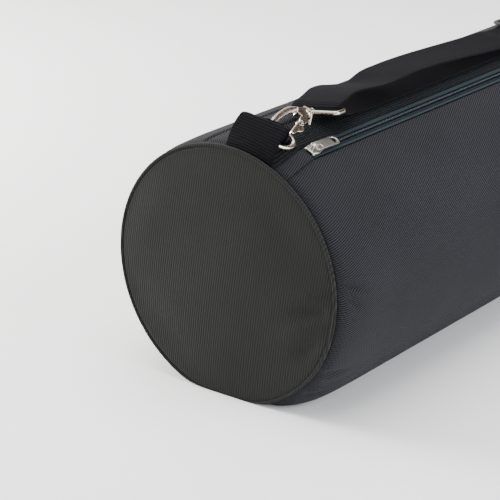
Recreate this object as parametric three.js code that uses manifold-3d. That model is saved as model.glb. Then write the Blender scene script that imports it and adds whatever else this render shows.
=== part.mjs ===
// A soft drum bag for a rolled yoga mat, lying on its side on a flat surface.
// Millimetres, +X along the bag, -Y the side with the zip, +Z up, origin under the middle of the bag.
import * as THREE from 'three';
import Module from 'manifold-3d';
import { mergeVertices } from 'three/addons/utils/BufferGeometryUtils.js';

const wasm = await Module();
wasm.setup();

// Drum, round at its end seams, fuller and lower between them and leaning to the zip side
const rimX = 340;
const rimRadius = 100;
const rimHeight = 95;
const bulge = 7.9;
const sag = 4.8;
const lean = 2.8;
const swellLength = 14;
const floorBlend = 4;
const clothWall = 2;
const gap = 0.35;
const bodySegments = 46;
const stationDepths = [0, 5, 11, 19, 30, 36, 46, 72, 110, 165, 235];
const stationSpacing = 2;

// Top opening, angles in degrees from straight up towards the zip side
const gapAngle = 0.2;
const farSeam = -12;
const meshFrom = 3;
const meshTo = 20.6;
const zipAngle = 24.4;
const zipSeam = 27.3;
const meshFlare = 5;
const coverFlare = 5.7;
const flareFrom = 298;
const flareBend = 1.4;
const zipEnd = 300;
const meshWall = 2.6;
const meshSink = 0.4;
const tapeWall = 1.2;
const tapeSink = 0.3;
const coverStand = 0.3;
const toothRise = 1.7;
const toothWidth = 5;

// End panels, slightly domed inside a rolled seam
const rimRoll = 3.4;
const rimStand = 1.3;
const rollEdge = 0.5;
const endDome = 3;
const endSegments = 48;
const endRings = [0, 0.38, 0.7, 0.98];
const bodyEnd = rimX - rimRoll - gap;

// Webbing, and the room beside it in a loop or slider
const webWidth = 40;
const webThick = 1.5;
const webRoom = 0.8;
const tabColumns = 6;
const strapColumns = 2;
const strapY = -14;
const strapBend = 215;
const loopBar = new THREE.Vector3(-258.35, -24.37, 207.26);
const loopRoll = -6;
const loopSkew = 6.9;

// Snap hook, u from its base to its nose and v across it
const hookBase = new THREE.Vector3(-278.2, -26.3, 207.3);
const hookAxis = new THREE.Vector3(-0.994, -0.07, -0.08).normalize();
const hookTilt = 45;
const ringWide = 4.4;
const ringThick = 3.4;
const ringSteps = 30;
const pivot = new THREE.Vector2(9, -3.4);
const pinRadius = 0.9;
const gateThick = 2.8;
const gateBevel = 0.4;
const earThick = 1;
const blockBevel = 0.6;
const collar = { radius: 5, from: -4.4, to: -1.4 };
const post = { radius: 1.5, from: -11.2, to: -4 };
const postHead = { radius: 3.1, from: -12.1, to: -10.9 };

// Strap loop on the hook's post, measured from the middle of its boss
const bossPlace = -8;
const boss = { radius: 4.2, from: -2, to: 2 };
const bore = { radius: post.radius + 0.8, from: -4, to: 4 };
const loopDepth = 12;
const loopWire = 3.4;
const loopCorner = 1.5;
const loopBevel = 0.7;

// Zip slider and its pull
const sliderX = -294.5;
const sliderLength = 14;
const sliderWidth = 10.5;
const sliderPlate = 1.6;
const sliderRise = 1.9;
const sliderBevel = 0.4;
const crownWidth = 3;
const crownHeight = 5.2;
const crownWall = 1.4;
const thinBevel = 0.3;
const pullLength = 29;
const pullWidth = 8.6;
const pullThick = 1.5;
const pullDroop = 2.6;
const eyeBar = 0.7;
const eyeLength = 6.5;
const eyeHalf = 2.1;
const crescentHalf = 2.6;
const hingeX = sliderX - 1.3;
const hingeRise = sliderRise + 2.3;

// Strap slider
const glideX = 60;
const glideRise = 8;
const glideRoll = 4;
const glideBar = 3;
const glideSlot = 9;
const glideThick = 2.5;
const glideCorner = 2;
const glideBevel = 0.4;

// Where the cloth is pushed in or stands out: middle, half lengths, turn in degrees and height
const folds = [
  { x: -318, theta: 130, along: 27, across: 8, turn: -22, height: 2.2 },
  { x: -326, theta: 140, along: 18, across: 7, turn: -20, height: -1.8 },
  { x: -331, theta: 81, along: 12, across: 7, turn: 20, height: -1.3 },
  { x: -322, theta: -70, along: 26, across: 8, turn: 15, height: -1.8 },
  { x: 120, theta: 105, along: 70, across: 9, turn: 8, height: -1.6 },
  { x: -60, theta: 118, along: 80, across: 8, turn: -6, height: -1.5 },
  { x: 40, theta: -100, along: 90, across: 9, turn: 5, height: -1.8 },
  { x: 316, theta: 116, along: 26, across: 7, turn: 20, height: 2 },
  { x: 318, theta: -112, along: 24, across: 7, turn: -16, height: 1.8 },
];

// The strap from its sewn end: place along the bag, height above the cloth and roll in degrees
const strapRows = [
  { x: 24, lift: 1.1, roll: 6 },
  { x: 48, lift: 1.1, roll: 6 },
  { x: 54, lift: 2.3, roll: 5 },
  { x: 57, lift: 4, roll: 4 },
  { x: 60, lift: 5.1, roll: 4 },
  { x: 63, lift: 5.9, roll: 4 },
  { x: 63.9, lift: 8, roll: 4 },
  { x: 62.9, lift: 10.1, roll: 4 },
  { x: 60, lift: 10.8, roll: 4 },
  { x: 57.2, lift: 10.1, roll: 4 },
  { x: 56.2, lift: 8, roll: 4 },
  { x: 54.6, lift: 5.4, roll: 4 },
  { x: 51.5, lift: 3.4, roll: 5 },
  { x: 48, lift: 3.05, roll: 6 },
  { x: 24, lift: 3.1, roll: 6 },
  { x: 12, lift: 1.3, roll: 6 },
  { x: -40, lift: 1.2, roll: 6 },
  { x: -100, lift: 1.2, roll: 6 },
  { x: -160, lift: 1.2, roll: 6 },
  { x: -205, lift: 1.3, roll: 6 },
  { x: -225, lift: 2.6, roll: 4 },
  { x: -240, lift: 5, roll: 0 },
  { x: -250, lift: 6.9, roll: -4 },
  { x: -256, lift: 7.7, roll: -6 },
  { x: -260.2, lift: 7.7, roll: -6 },
  { x: -262.4, lift: 9.9, roll: -6 },
  { x: -262.4, lift: 13.3, roll: -6 },
  { x: -259.4, lift: 15.6, roll: -6 },
  { x: -251, lift: 17, roll: -6 },
  { x: -242, lift: 17.3, roll: -6 },
  { x: -232, lift: 16.5, roll: -5 },
  { x: -215, lift: 14.2, roll: -5 },
  { x: -200, lift: 12, roll: -7 },
  { x: -182, lift: 10, roll: -8 },
  { x: -160, lift: 12.4, roll: -2 },
  { x: -140, lift: 13.2, roll: -2 },
  { x: -112, lift: 12.8, roll: -1 },
  { x: -70, lift: 10.6, roll: 1 },
  { x: -30, lift: 8, roll: 3 },
  { x: 10, lift: 6, roll: 4 },
  { x: 48, lift: 4.95, roll: 4 },
  { x: 50.5, lift: 5.6, roll: 4 },
  { x: 52.6, lift: 7.4, roll: 4 },
  { x: 53.9, lift: 9.8, roll: 4 },
  { x: 56, lift: 12.2, roll: 4 },
  { x: 60, lift: 13, roll: 4 },
  { x: 64, lift: 12.2, roll: 4 },
  { x: 66, lift: 9.8, roll: 4 },
  { x: 67, lift: 7.4, roll: 4 },
  { x: 69.3, lift: 5.7, roll: 4 },
  { x: 72, lift: 4.95, roll: 4 },
  { x: 86, lift: 2.6, roll: 5 },
  { x: 104, lift: 1.2, roll: 6 },
  { x: 160, lift: 1.2, roll: 6 },
  { x: 205, lift: 1.3, roll: 6 },
  { x: 225, lift: 2.6, roll: 4 },
  { x: 240, lift: 5, roll: 0 },
  { x: 250, lift: 6.9, roll: -4 },
  { x: 256, lift: 7.7, roll: -6 },
  { x: 259.9, lift: 7.8, roll: -6 },
  { x: 262.2, lift: 10, roll: -6 },
  { x: 261.9, lift: 13.4, roll: -6 },
  { x: 258.2, lift: 15.2, roll: -6 },
  { x: 254.2, lift: 13.9, roll: -5 },
  { x: 248, lift: 10, roll: -3 },
  { x: 240, lift: 7, roll: 0 },
  { x: 225, lift: 4.5, roll: 4 },
  { x: 208, lift: 3.3, roll: 6 },
];

// A tab from the end seam over its fold and down through the hook: centre, width, tilt, pleat and bow
const tabRows = [
  { x: -335.2, y: -20.5, z: 194.8, width: 42, tilt: 11.3, pleat: 0, bow: 2.3 },
  { x: -333.2, y: -21.2, z: 200, width: 42, tilt: 10.8, pleat: 0, bow: 1.3 },
  { x: -330.6, y: -23, z: 206.2, width: 42, tilt: 9.8, pleat: 0, bow: 0.5 },
  { x: -327.8, y: -25.2, z: 211.6, width: 42, tilt: 8.8, pleat: 0, bow: 0.1 },
  { x: -325.4, y: -26.6, z: 214.2, width: 42, tilt: 8.2, pleat: 0, bow: 0 },
  { x: -322.6, y: -27.4, z: 215.3, width: 39, tilt: 8, pleat: 0.2, bow: 0 },
  { x: -319.8, y: -28.8, z: 214.6, width: 27, tilt: 8, pleat: 0.8, bow: 0 },
  { x: -317, y: -32, z: 212.6, width: 16, tilt: 8, pleat: 1.5, bow: 0 },
  { x: -314.9, y: -33.4, z: 208.6, width: 11.5, tilt: 14, pleat: 1.9, bow: 0 },
  { x: -313.6, y: -32, z: 203.2, width: 10.5, tilt: 34, pleat: 2, bow: 0 },
  { x: -312.4, y: -27.6, z: 199.2, width: 13, tilt: 30, pleat: 1.7, bow: 0 },
  { x: -310, y: -22.4, z: 197.6, width: 22, tilt: 14, pleat: 0.8, bow: 0 },
  { x: -302, y: -20.5, z: 197.2, width: 27, tilt: 9.5, pleat: 0.1, bow: 0 },
];

// The hook's round bar from its base over the back to the tip of the bill
const hookRows = [
  { u: -1, v: 3.2 },
  { u: 3, v: 6.6 },
  { u: 9, v: 8.7 },
  { u: 17, v: 9.6 },
  { u: 25, v: 9.1 },
  { u: 34, v: 7.4 },
  { u: 42, v: 3.6 },
  { u: 46.4, v: -2.4 },
  { u: 45.8, v: -8.4 },
  { u: 41, v: -12.9 },
  { u: 34.6, v: -14.8 },
  { u: 29.6, v: -13.4 },
  { u: 27.8, v: -9.6 },
  { u: 28, v: -6.6 },
];

// Side views of the hook's solid base, of the ears that hold its gate and of the gate with its thumb lobe
const hookBlock = [
  { u: -3.4, v: 4.4 },
  { u: -3.4, v: 0.4 },
  { u: 3.8, v: -6.2 },
  { u: 6, v: -5.4 },
  { u: 5.3, v: -1 },
  { u: 6.8, v: 4.7 },
  { u: 3, v: 7.6 },
];
const hookEar = [
  { u: 3, v: -5.6 },
  { u: 8, v: -6.2 },
  { u: 11, v: -5.2 },
  { u: 11.4, v: -2.4 },
  { u: 9.6, v: -0.6 },
  { u: 3, v: 0.4 },
];
const gateOutline = [
  { u: 9.6, v: -1.1 },
  { u: 16, v: -2.9 },
  { u: 24.4, v: -4.9 },
  { u: 25.3, v: -5.8 },
  { u: 25.2, v: -7.2 },
  { u: 24, v: -8 },
  { u: 19.5, v: -7.8 },
  { u: 16.6, v: -9.4 },
  { u: 13.4, v: -10 },
  { u: 11.2, v: -9 },
  { u: 10.4, v: -6 },
  { u: 8.2, v: -5.7 },
  { u: 6.9, v: -4.6 },
  { u: 6.7, v: -2.9 },
  { u: 7.7, v: -1.4 },
];

// Side view of the arch over the zip slider, outside and inside from the back to the front
const crownOutside = [
  { u: -5, v: 0 },
  { u: -4.6, v: 3.6 },
  { u: -3.2, v: crownHeight },
  { u: 2, v: crownHeight },
  { u: 3.8, v: 3.6 },
  { u: 4.4, v: 0 },
];
const crownInside = [
  { u: -3.8, v: 0 },
  { u: -3.4, v: 2.9 },
  { u: -2.6, v: crownHeight - crownWall },
  { u: 1.4, v: crownHeight - crownWall },
  { u: 2.8, v: 2.9 },
  { u: 3.2, v: 0 },
];

const paint = {
  bodyCloth: { color: '#46484d', roughness: 0.9, metalness: 0 },
  endCloth: { color: '#3d3d3b', roughness: 0.92, metalness: 0 },
  mesh: { color: '#1b1e20', roughness: 0.85, metalness: 0 },
  webbing: { color: '#222225', roughness: 0.8, metalness: 0 },
  tape: { color: '#465059', roughness: 0.75, metalness: 0 },
  coil: { color: '#2a2e33', roughness: 0.5, metalness: 0 },
  nickel: { color: '#b9b4aa', roughness: 0.25, metalness: 1 },
  plastic: { color: '#1d1d1f', roughness: 0.5, metalness: 0 },
};

const radians = THREE.MathUtils.degToRad;
const smooth = THREE.MathUtils.smoothstep;
const lerp = THREE.MathUtils.lerp;

// How far the drum has swollen from its end seam, 0 at the seam and 1 in the middle
function swell(x) {
  return 1 - Math.exp(-Math.max(0, rimX - Math.abs(x)) / swellLength);
}

function foldHeight(x, theta) {
  let height = 0;
  for (const fold of folds) {
    const turn = radians(fold.turn);
    const dx = x - fold.x;
    const dt = radians(theta - fold.theta) * rimRadius;
    const along = (dx * Math.cos(turn) + dt * Math.sin(turn)) / fold.along;
    const across = (dt * Math.cos(turn) - dx * Math.sin(turn)) / fold.across;
    height += fold.height * Math.exp(-along * along - across * across);
  }
  return height;
}

// Cloth that would reach below the surface lies flat on it
function restOn(z, floor) {
  const depth = z - floor;
  if (depth >= floorBlend) return z;
  if (depth <= -floorBlend) return floor;
  return floor + (depth + floorBlend) ** 2 / (4 * floorBlend);
}

// A point of the drum's outside, moved out by offset
function drumPoint(x, theta, offset = 0) {
  const full = swell(x);
  const angle = radians(theta);
  const radius = rimRadius + bulge * full + foldHeight(x, theta) * full + offset;
  const y = -lean * full - radius * Math.sin(angle);
  const z = rimHeight - sag * full + radius * Math.cos(angle);
  return new THREE.Vector3(x, y, restOn(z, -offset));
}

// Height of the drum's top at a place seen from above
function topHeight(x, y) {
  const full = swell(x);
  const radius = rimRadius + bulge * full;
  return rimHeight - sag * full + Math.sqrt(radius ** 2 - (y + lean * full) ** 2);
}

function volumeOf(positions, index) {
  const [a, b, c] = [new THREE.Vector3(), new THREE.Vector3(), new THREE.Vector3()];
  let volume = 0;
  for (let i = 0; i < index.length; i += 3) {
    a.fromArray(positions, 3 * index[i]);
    b.fromArray(positions, 3 * index[i + 1]);
    c.fromArray(positions, 3 * index[i + 2]);
    volume += a.dot(b.cross(c));
  }
  return volume;
}

function geometryFrom(positions, index) {
  if (volumeOf(positions, index) < 0) index.reverse();
  const geometry = new THREE.BufferGeometry();
  geometry.setAttribute('position', new THREE.Float32BufferAttribute(positions, 3));
  geometry.setIndex(index);
  return geometry;
}

// A closed wall between two grids of points with the same rows and columns
function wallBetween(outer, inner) {
  const rows = outer.length;
  const columns = outer[0].length;
  const positions = [...outer.flat(), ...inner.flat()].flatMap((point) => point.toArray());
  const at = (side, i, j) => side * rows * columns + i * columns + j;
  const index = [];
  const quad = (a, b, c, d) => index.push(a, b, c, a, c, d);
  for (let i = 0; i + 1 < rows; i += 1) {
    for (let j = 0; j + 1 < columns; j += 1) {
      quad(at(0, i, j), at(0, i + 1, j), at(0, i + 1, j + 1), at(0, i, j + 1));
      quad(at(1, i, j), at(1, i, j + 1), at(1, i + 1, j + 1), at(1, i + 1, j));
    }
    quad(at(0, i, 0), at(1, i, 0), at(1, i + 1, 0), at(0, i + 1, 0));
    const last = columns - 1;
    quad(at(0, i, last), at(0, i + 1, last), at(1, i + 1, last), at(1, i, last));
  }
  for (let j = 0; j + 1 < columns; j += 1) {
    quad(at(0, 0, j), at(0, 0, j + 1), at(1, 0, j + 1), at(1, 0, j));
    const end = rows - 1;
    quad(at(0, end, j), at(1, end, j), at(1, end, j + 1), at(0, end, j + 1));
  }
  return geometryFrom(positions, index);
}

// Places along the drum, closer together where it swells at its ends
function stationsAlong(from, to) {
  const half = stationDepths.map((depth) => bodyEnd - depth);
  const between = [...half, 0, ...half.map((x) => -x)];
  const inside = between.filter((x) => x > from + stationSpacing && x < to - stationSpacing);
  return [from, ...inside, to].sort((a, b) => a - b);
}

// A strip of the drum's wall between two angles, each a number or a function of the place along it
function drumStrip(from, to, xFrom, xTo, segments, top, wall) {
  const angleAt = (edge, x) => (typeof edge === 'function' ? edge(x) : edge);
  const layer = (offset) => stationsAlong(xFrom, xTo).map((x) => {
    const row = [];
    for (let j = 0; j <= segments; j += 1) {
      row.push(drumPoint(x, lerp(angleAt(from, x), angleAt(to, x), j / segments), offset));
    }
    return row;
  });
  return wallBetween(layer(top), layer(top - wall));
}

// The seams beside the zip spread towards the end panels
function flare(x) {
  return (Math.max(0, Math.abs(x) - flareFrom) / (rimX - flareFrom)) ** flareBend;
}

function meshEdge(x) {
  return meshTo + meshFlare * flare(x);
}

function tapeEdge(x) {
  return meshEdge(x) + gapAngle;
}

function bodyEdge(x) {
  return zipSeam + coverFlare * flare(x);
}

function zipEdge(x) {
  return bodyEdge(x) - gapAngle;
}

// A round end panel with a raised seam roll at its rim, flat where it rests
function endPanel(side) {
  const seat = rimRadius - rimRoll;
  const dome = endRings.map((part) => [part * seat, endDome * (1 - part ** 2)]);
  const roll = [
    [seat + rollEdge, rimStand - rollEdge / 2],
    [rimRadius - rimRoll / 2, rimStand],
    [rimRadius, -rollEdge],
    [rimRadius - rollEdge, -rimRoll],
    [seat + rollEdge, -rimRoll],
  ];
  const inside = dome.map(([radius, out]) => [radius, out - clothWall]).reverse();
  const profile = [...dome, ...roll, ...inside].map(([radius, out]) => new THREE.Vector2(radius, out));
  const lathe = mergeVertices(positionsOnly(new THREE.LatheGeometry(profile, endSegments)));
  const place = lathe.attributes.position;
  const positions = [];
  for (let i = 0; i < place.count; i += 1) {
    const [y, z] = [place.getX(i), place.getZ(i)];
    positions.push(side * (rimX + place.getY(i)), y, restOn(rimHeight + z, 0));
  }
  const index = [];
  for (let i = 0; i < lathe.index.count; i += 3) {
    const [a, b, c] = [0, 1, 2].map((k) => lathe.index.getX(i + k));
    if (a !== b && b !== c && c !== a) index.push(a, b, c);
  }
  return geometryFrom(positions, index);
}

function positionsOnly(geometry) {
  geometry.deleteAttribute('normal');
  geometry.deleteAttribute('uv');
  return geometry;
}

function solidFrom(geometry) {
  const merged = mergeVertices(positionsOnly(geometry.clone()), 1e-4);
  return new wasm.Manifold(new wasm.Mesh({
    numProp: 3,
    vertProperties: merged.attributes.position.array,
    triVerts: Uint32Array.from(merged.index.array),
  }));
}

function geometryOf(solid) {
  const { vertProperties, triVerts } = solid.getMesh();
  return geometryFrom(Array.from(vertProperties), Array.from(triVerts));
}

function joined(...geometries) {
  return geometries.map(solidFrom).reduce((all, next) => all.add(next));
}

// A flat woven band along rows of centre, direction across, width, pleat and bow, the drop of its edges
function band(rows, thick, columns) {
  const layers = [[], []];
  rows.forEach((row, i) => {
    const before = rows[Math.max(0, i - 1)].centre;
    const after = rows[Math.min(rows.length - 1, i + 1)].centre;
    const along = after.clone().sub(before).normalize();
    const face = row.across.clone().cross(along).normalize();
    layers.forEach((layer, side) => {
      const points = [];
      for (let j = 0; j <= columns; j += 1) {
        const t = (2 * j) / columns - 1;
        const wave = row.pleat * (j % 2 === 0 ? 1 : -1);
        const out = wave + (side === 0 ? thick / 2 : -thick / 2);
        const point = row.centre.clone().addScaledVector(row.across, (t * row.width) / 2);
        point.z -= row.bow * t ** 2;
        points.push(point.addScaledVector(face, out));
      }
      layer.push(points);
    });
  });
  return wallBetween(layers[0], layers[1]);
}

// Across the band, from the far edge to the near edge, turned down by roll on the near side
function acrossAt(roll, skew = 0) {
  const level = Math.cos(radians(roll));
  const turn = radians(skew);
  return new THREE.Vector3(level * Math.sin(turn), -level * Math.cos(turn), -Math.sin(radians(roll)));
}

// How near a place on the strap is to the loop of its hook, 0 in the middle and 1 at the loop
function nearLoop(x) {
  return smooth(Math.abs(x), strapBend, -loopBar.x);
}

function strapPlace(x, lift) {
  const y = lerp(strapY, loopBar.y, nearLoop(x));
  return new THREE.Vector3(x, y, topHeight(x, y) + lift);
}

function strapBand() {
  const rows = strapRows.map(({ x, lift, roll }) => ({
    centre: strapPlace(x, lift),
    across: acrossAt(roll, -Math.sign(x) * loopSkew * nearLoop(x)),
    width: webWidth,
    pleat: 0,
    bow: 0,
  }));
  return band(rows, webThick, strapColumns);
}

function tabBand() {
  const rows = tabRows.map(({ x, y, z, width, tilt, pleat, bow }) => ({
    centre: new THREE.Vector3(x, y, z),
    across: acrossAt(tilt),
    width,
    pleat,
    bow,
  }));
  return band(rows, webThick, tabColumns);
}

// The hook's own frame: u along its axis, v across it, w out of its flat side
function hookFrame() {
  const tilt = radians(hookTilt);
  const level = new THREE.Vector3(0, 0, 1).cross(hookAxis).negate().normalize();
  const across = level.multiplyScalar(Math.sin(tilt));
  across.addScaledVector(new THREE.Vector3(0, 0, 1), Math.cos(tilt));
  across.addScaledVector(hookAxis, -across.dot(hookAxis)).normalize();
  const side = hookAxis.clone().cross(across);
  return new THREE.Matrix4().makeBasis(hookAxis, across, side).setPosition(hookBase);
}

// A flat plate lying on both sides of the u-v plane, its edges bevelled
function plate(outline, thick, bevel) {
  const options = { depth: thick - 2 * bevel, bevelEnabled: bevel > 0, curveSegments: 6 };
  Object.assign(options, { bevelThickness: bevel, bevelSize: bevel, bevelOffset: -bevel, bevelSegments: 1 });
  return new THREE.ExtrudeGeometry(new THREE.Shape(outline), options).translate(0, 0, bevel - thick / 2);
}

function pierced(outline, holes, thick, bevel) {
  const cuts = holes.map((hole) => solidFrom(plate(hole, 3 * thick, 0)));
  return cuts.reduce((left, cut) => left.subtract(cut), solidFrom(plate(outline, thick, bevel)));
}

function circle(centre, radius, count) {
  const points = [];
  for (let i = 0; i < count; i += 1) {
    const angle = (2 * Math.PI * i) / count;
    points.push(new THREE.Vector2(centre.x + radius * Math.cos(angle), centre.y + radius * Math.sin(angle)));
  }
  return points;
}

function outlineOf(rows) {
  return rows.map(({ u, v }) => new THREE.Vector2(u, v));
}

function rectangle(left, right, bottom, top, corner = 0) {
  const cut = corner > 0 ? [[corner, 0], [0, corner]] : [[0, 0]];
  const back = [...cut].reverse();
  return [
    ...back.map(([u, v]) => ({ u: left + u, v: bottom + v })),
    ...cut.map(([u, v]) => ({ u: right - u, v: bottom + v })),
    ...back.map(([u, v]) => ({ u: right - u, v: top - v })),
    ...cut.map(([u, v]) => ({ u: left + u, v: top - v })),
  ];
}

// A round bar lying along the u axis
function axisBar({ radius, from, to }, sides = 12) {
  const bar = new THREE.CylinderGeometry(radius, radius, to - from, sides).rotateZ(Math.PI / 2);
  return bar.translate((from + to) / 2, 0, 0);
}

function hookBody() {
  const path = new THREE.CatmullRomCurve3(hookRows.map(({ u, v }) => new THREE.Vector3(u, v, 0)));
  const section = circle(new THREE.Vector2(), 0.5, 8)
    .map(({ x, y }) => new THREE.Vector2(x * ringThick, y * ringWide));
  const ring = new THREE.ExtrudeGeometry(new THREE.Shape(section), {
    steps: ringSteps,
    bevelEnabled: false,
    extrudePath: path,
  });
  const earGap = gateThick / 2 + gap;
  const blockThick = 2 * (earGap + earThick);
  const block = plate(outlineOf(hookBlock), blockThick, blockBevel);
  const ears = [-1, 1].map((side) => (
    plate(outlineOf(hookEar), earThick, 0).translate(0, 0, side * (earGap + earThick / 2))));
  const pin = new THREE.CylinderGeometry(pinRadius, pinRadius, blockThick - earThick / 2, 10);
  pin.rotateX(Math.PI / 2).translate(pivot.x, pivot.y, 0);
  return geometryOf(joined(ring, block, ...ears, pin, axisBar(collar, 16), axisBar(post), axisBar(postHead)));
}

// The sprung lever that closes the hook, with a thumb lobe on its outer side
function hookGate() {
  const hole = circle(pivot, pinRadius + gap, 10);
  return geometryOf(pierced(outlineOf(gateOutline), [hole], gateThick, gateBevel));
}

// The ring that holds the strap, turning on the hook's post
function strapLoop() {
  const half = loopWire / 2;
  const reach = webWidth / 2 + webRoom;
  const outer = rectangle(-half, loopDepth + half, -reach - loopWire, reach + loopWire, loopCorner);
  const inner = rectangle(half, loopDepth - half, -reach, reach);
  const ring = pierced(outlineOf(outer), [outlineOf(inner)], loopWire, loopBevel);
  return geometryOf(ring.add(solidFrom(axisBar(boss, 14))).subtract(solidFrom(axisBar(bore, 14))));
}

// The loop's own frame: u from the hook to the bar that the strap folds round, v along that bar
function loopFrame() {
  const middle = hookBase.clone().addScaledVector(hookAxis, bossPlace);
  const bar = acrossAt(loopRoll, loopSkew);
  const out = loopBar.clone().sub(middle);
  out.addScaledVector(bar, -out.dot(bar)).normalize();
  return new THREE.Matrix4().makeBasis(out, bar, out.clone().cross(bar)).setPosition(middle);
}

// Frame on the zip: x along the bag, y down the drum's side, z out of the cloth
function zipFrame(x, rise) {
  const angle = radians(zipAngle);
  const down = new THREE.Vector3(0, -Math.cos(angle), -Math.sin(angle));
  const out = new THREE.Vector3(0, -Math.sin(angle), Math.cos(angle));
  const along = new THREE.Vector3(1, 0, 0);
  return new THREE.Matrix4().makeBasis(along, down.negate(), out).setPosition(drumPoint(x, zipAngle, rise));
}

function zipSlider() {
  const half = sliderLength / 2;
  const wide = sliderWidth / 2;
  const side = [
    { u: -half, v: wide * 0.8 },
    { u: -half * 0.2, v: wide },
    { u: half * 0.85, v: wide * 0.7 },
    { u: half, v: wide * 0.5 },
  ];
  const outline = [...side.map(({ u, v }) => ({ u, v: -v })), ...side.reverse()];
  const top = plate(outlineOf(outline), sliderPlate, sliderBevel);
  const crownLine = [...crownOutside, ...[...crownInside].reverse()];
  const crown = plate(outlineOf(crownLine), crownWidth, thinBevel).rotateX(Math.PI / 2);
  return geometryOf(joined(top, crown));
}

// The pull from the bar of its eye, which turns under the slider's crown, to its free end
function zipPull() {
  const half = pullWidth / 2;
  const end = pullLength - eyeBar;
  const outline = [
    { u: -eyeBar, v: -half + 1 },
    { u: -eyeBar + 1, v: -half },
    { u: end - 3, v: -half },
    { u: end - 0.8, v: -half * 0.7 },
    { u: end, v: 0 },
    { u: end - 0.8, v: half * 0.7 },
    { u: end - 3, v: half },
    { u: -eyeBar + 1, v: half },
    { u: -eyeBar, v: half - 1 },
  ];
  const eye = rectangle(eyeBar, eyeLength, -eyeHalf, eyeHalf);
  const crescent = [
    { u: end - 6, v: -crescentHalf },
    { u: end - 5, v: 0 },
    { u: end - 6, v: crescentHalf },
    { u: end - 3.6, v: crescentHalf },
    { u: end - 2.2, v: 0 },
    { u: end - 3.6, v: -crescentHalf },
  ];
  const holes = [outlineOf(eye), outlineOf(crescent)];
  return geometryOf(pierced(outlineOf(outline), holes, pullThick, thinBevel)).rotateY(radians(pullDroop));
}

// A plain frame with a middle bar, as the strap is threaded through it
function strapGlide() {
  const half = glideBar * 1.5 + glideSlot;
  const reach = webWidth / 2 + webRoom;
  const wide = reach + glideBar;
  const outline = rectangle(-half, half, -wide, wide, glideCorner);
  const slots = [-glideBar / 2 - glideSlot, glideBar / 2].map((from) => (
    outlineOf(rectangle(from, from + glideSlot, -reach, reach))));
  return geometryOf(pierced(outlineOf(outline), slots, glideThick, glideBevel));
}

function glideFrame() {
  const across = acrossAt(glideRoll).negate();
  const along = new THREE.Vector3(1, 0, 0);
  return new THREE.Matrix4().makeBasis(along, across, along.clone().cross(across))
    .setPosition(strapPlace(glideX, glideRise));
}

// The origin lies under the middle of the whole bag, so the drum's ends stand beside it
const bag = new THREE.Group();
bag.position.y = lean;

function add(name, geometry, finish) {
  const mesh = new THREE.Mesh(geometry, new THREE.MeshStandardMaterial(paint[finish]));
  mesh.name = name;
  bag.add(mesh);
}

// The same piece at the other end of the bag
function mirrored(geometry) {
  const place = geometry.attributes.position;
  const positions = [];
  for (let i = 0; i < place.count; i += 1) positions.push(-place.getX(i), place.getY(i), place.getZ(i));
  return geometryFrom(positions, Array.from(geometry.index.array));
}

function addAtBothEnds(name, geometry, finish) {
  add(`${name}_near`, geometry, finish);
  add(`${name}_far`, mirrored(geometry), finish);
}

const bodyTo = 360 + farSeam - gapAngle;
const toothHalf = THREE.MathUtils.radToDeg(toothWidth / 2 / (rimRadius + bulge));
const teethFrom = sliderX + sliderLength / 2 + gap;
const [coverLeft, coverRight] = [-bodyEnd, -zipEnd - gap];

add('body_panel', drumStrip(bodyEdge, bodyTo, -bodyEnd, bodyEnd, bodySegments, 0, clothWall), 'bodyCloth');
add('end_panel_near', endPanel(-1), 'endCloth');
add('end_panel_far', endPanel(1), 'endCloth');
add('top_strip', drumStrip(farSeam, meshFrom - gapAngle, -bodyEnd, bodyEnd, 2, 0, clothWall), 'bodyCloth');
add('mesh_panel', drumStrip(meshFrom, meshEdge, -bodyEnd, bodyEnd, 3, -meshSink, meshWall), 'mesh');
add('zip_tape_upper', drumStrip(
  tapeEdge, zipAngle - gapAngle, -zipEnd, zipEnd, 1, -tapeSink, tapeWall,
), 'tape');
add('zip_tape_lower', drumStrip(zipAngle, zipEdge, -zipEnd, zipEnd, 1, -tapeSink, tapeWall), 'tape');
add('zip_teeth', drumStrip(
  zipAngle - toothHalf, zipAngle + toothHalf, teethFrom, zipEnd, 1, toothRise, toothRise,
), 'coil');
addAtBothEnds('zip_cover', drumStrip(
  tapeEdge, zipEdge, coverLeft, coverRight, 2, coverStand, clothWall,
), 'bodyCloth');
add('zip_slider', zipSlider().applyMatrix4(zipFrame(sliderX, sliderRise)), 'nickel');
add('zip_pull', zipPull().applyMatrix4(zipFrame(hingeX, hingeRise)), 'nickel');
addAtBothEnds('strap_tab', tabBand(), 'webbing');
addAtBothEnds('hook_body', hookBody().applyMatrix4(hookFrame()), 'nickel');
addAtBothEnds('hook_gate', hookGate().applyMatrix4(hookFrame()), 'nickel');
addAtBothEnds('hook_loop', strapLoop().applyMatrix4(loopFrame()), 'nickel');
add('strap', strapBand(), 'webbing');
add('strap_slider', strapGlide().applyMatrix4(glideFrame()), 'plastic');

export default bag;
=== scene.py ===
import math

import bpy
import numpy as np
from mathutils import Matrix, Vector


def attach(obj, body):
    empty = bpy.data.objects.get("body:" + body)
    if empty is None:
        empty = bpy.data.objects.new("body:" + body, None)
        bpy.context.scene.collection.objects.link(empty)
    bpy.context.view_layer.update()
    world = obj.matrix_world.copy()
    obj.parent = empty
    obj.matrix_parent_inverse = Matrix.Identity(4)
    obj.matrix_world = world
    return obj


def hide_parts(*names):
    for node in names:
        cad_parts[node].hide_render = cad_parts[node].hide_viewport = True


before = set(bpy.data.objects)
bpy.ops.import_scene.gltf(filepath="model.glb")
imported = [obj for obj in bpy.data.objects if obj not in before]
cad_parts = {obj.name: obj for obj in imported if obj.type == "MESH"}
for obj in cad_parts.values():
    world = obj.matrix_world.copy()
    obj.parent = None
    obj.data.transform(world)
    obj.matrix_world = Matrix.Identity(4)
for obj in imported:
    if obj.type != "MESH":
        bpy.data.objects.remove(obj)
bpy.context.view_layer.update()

mm = 0.001
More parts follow.
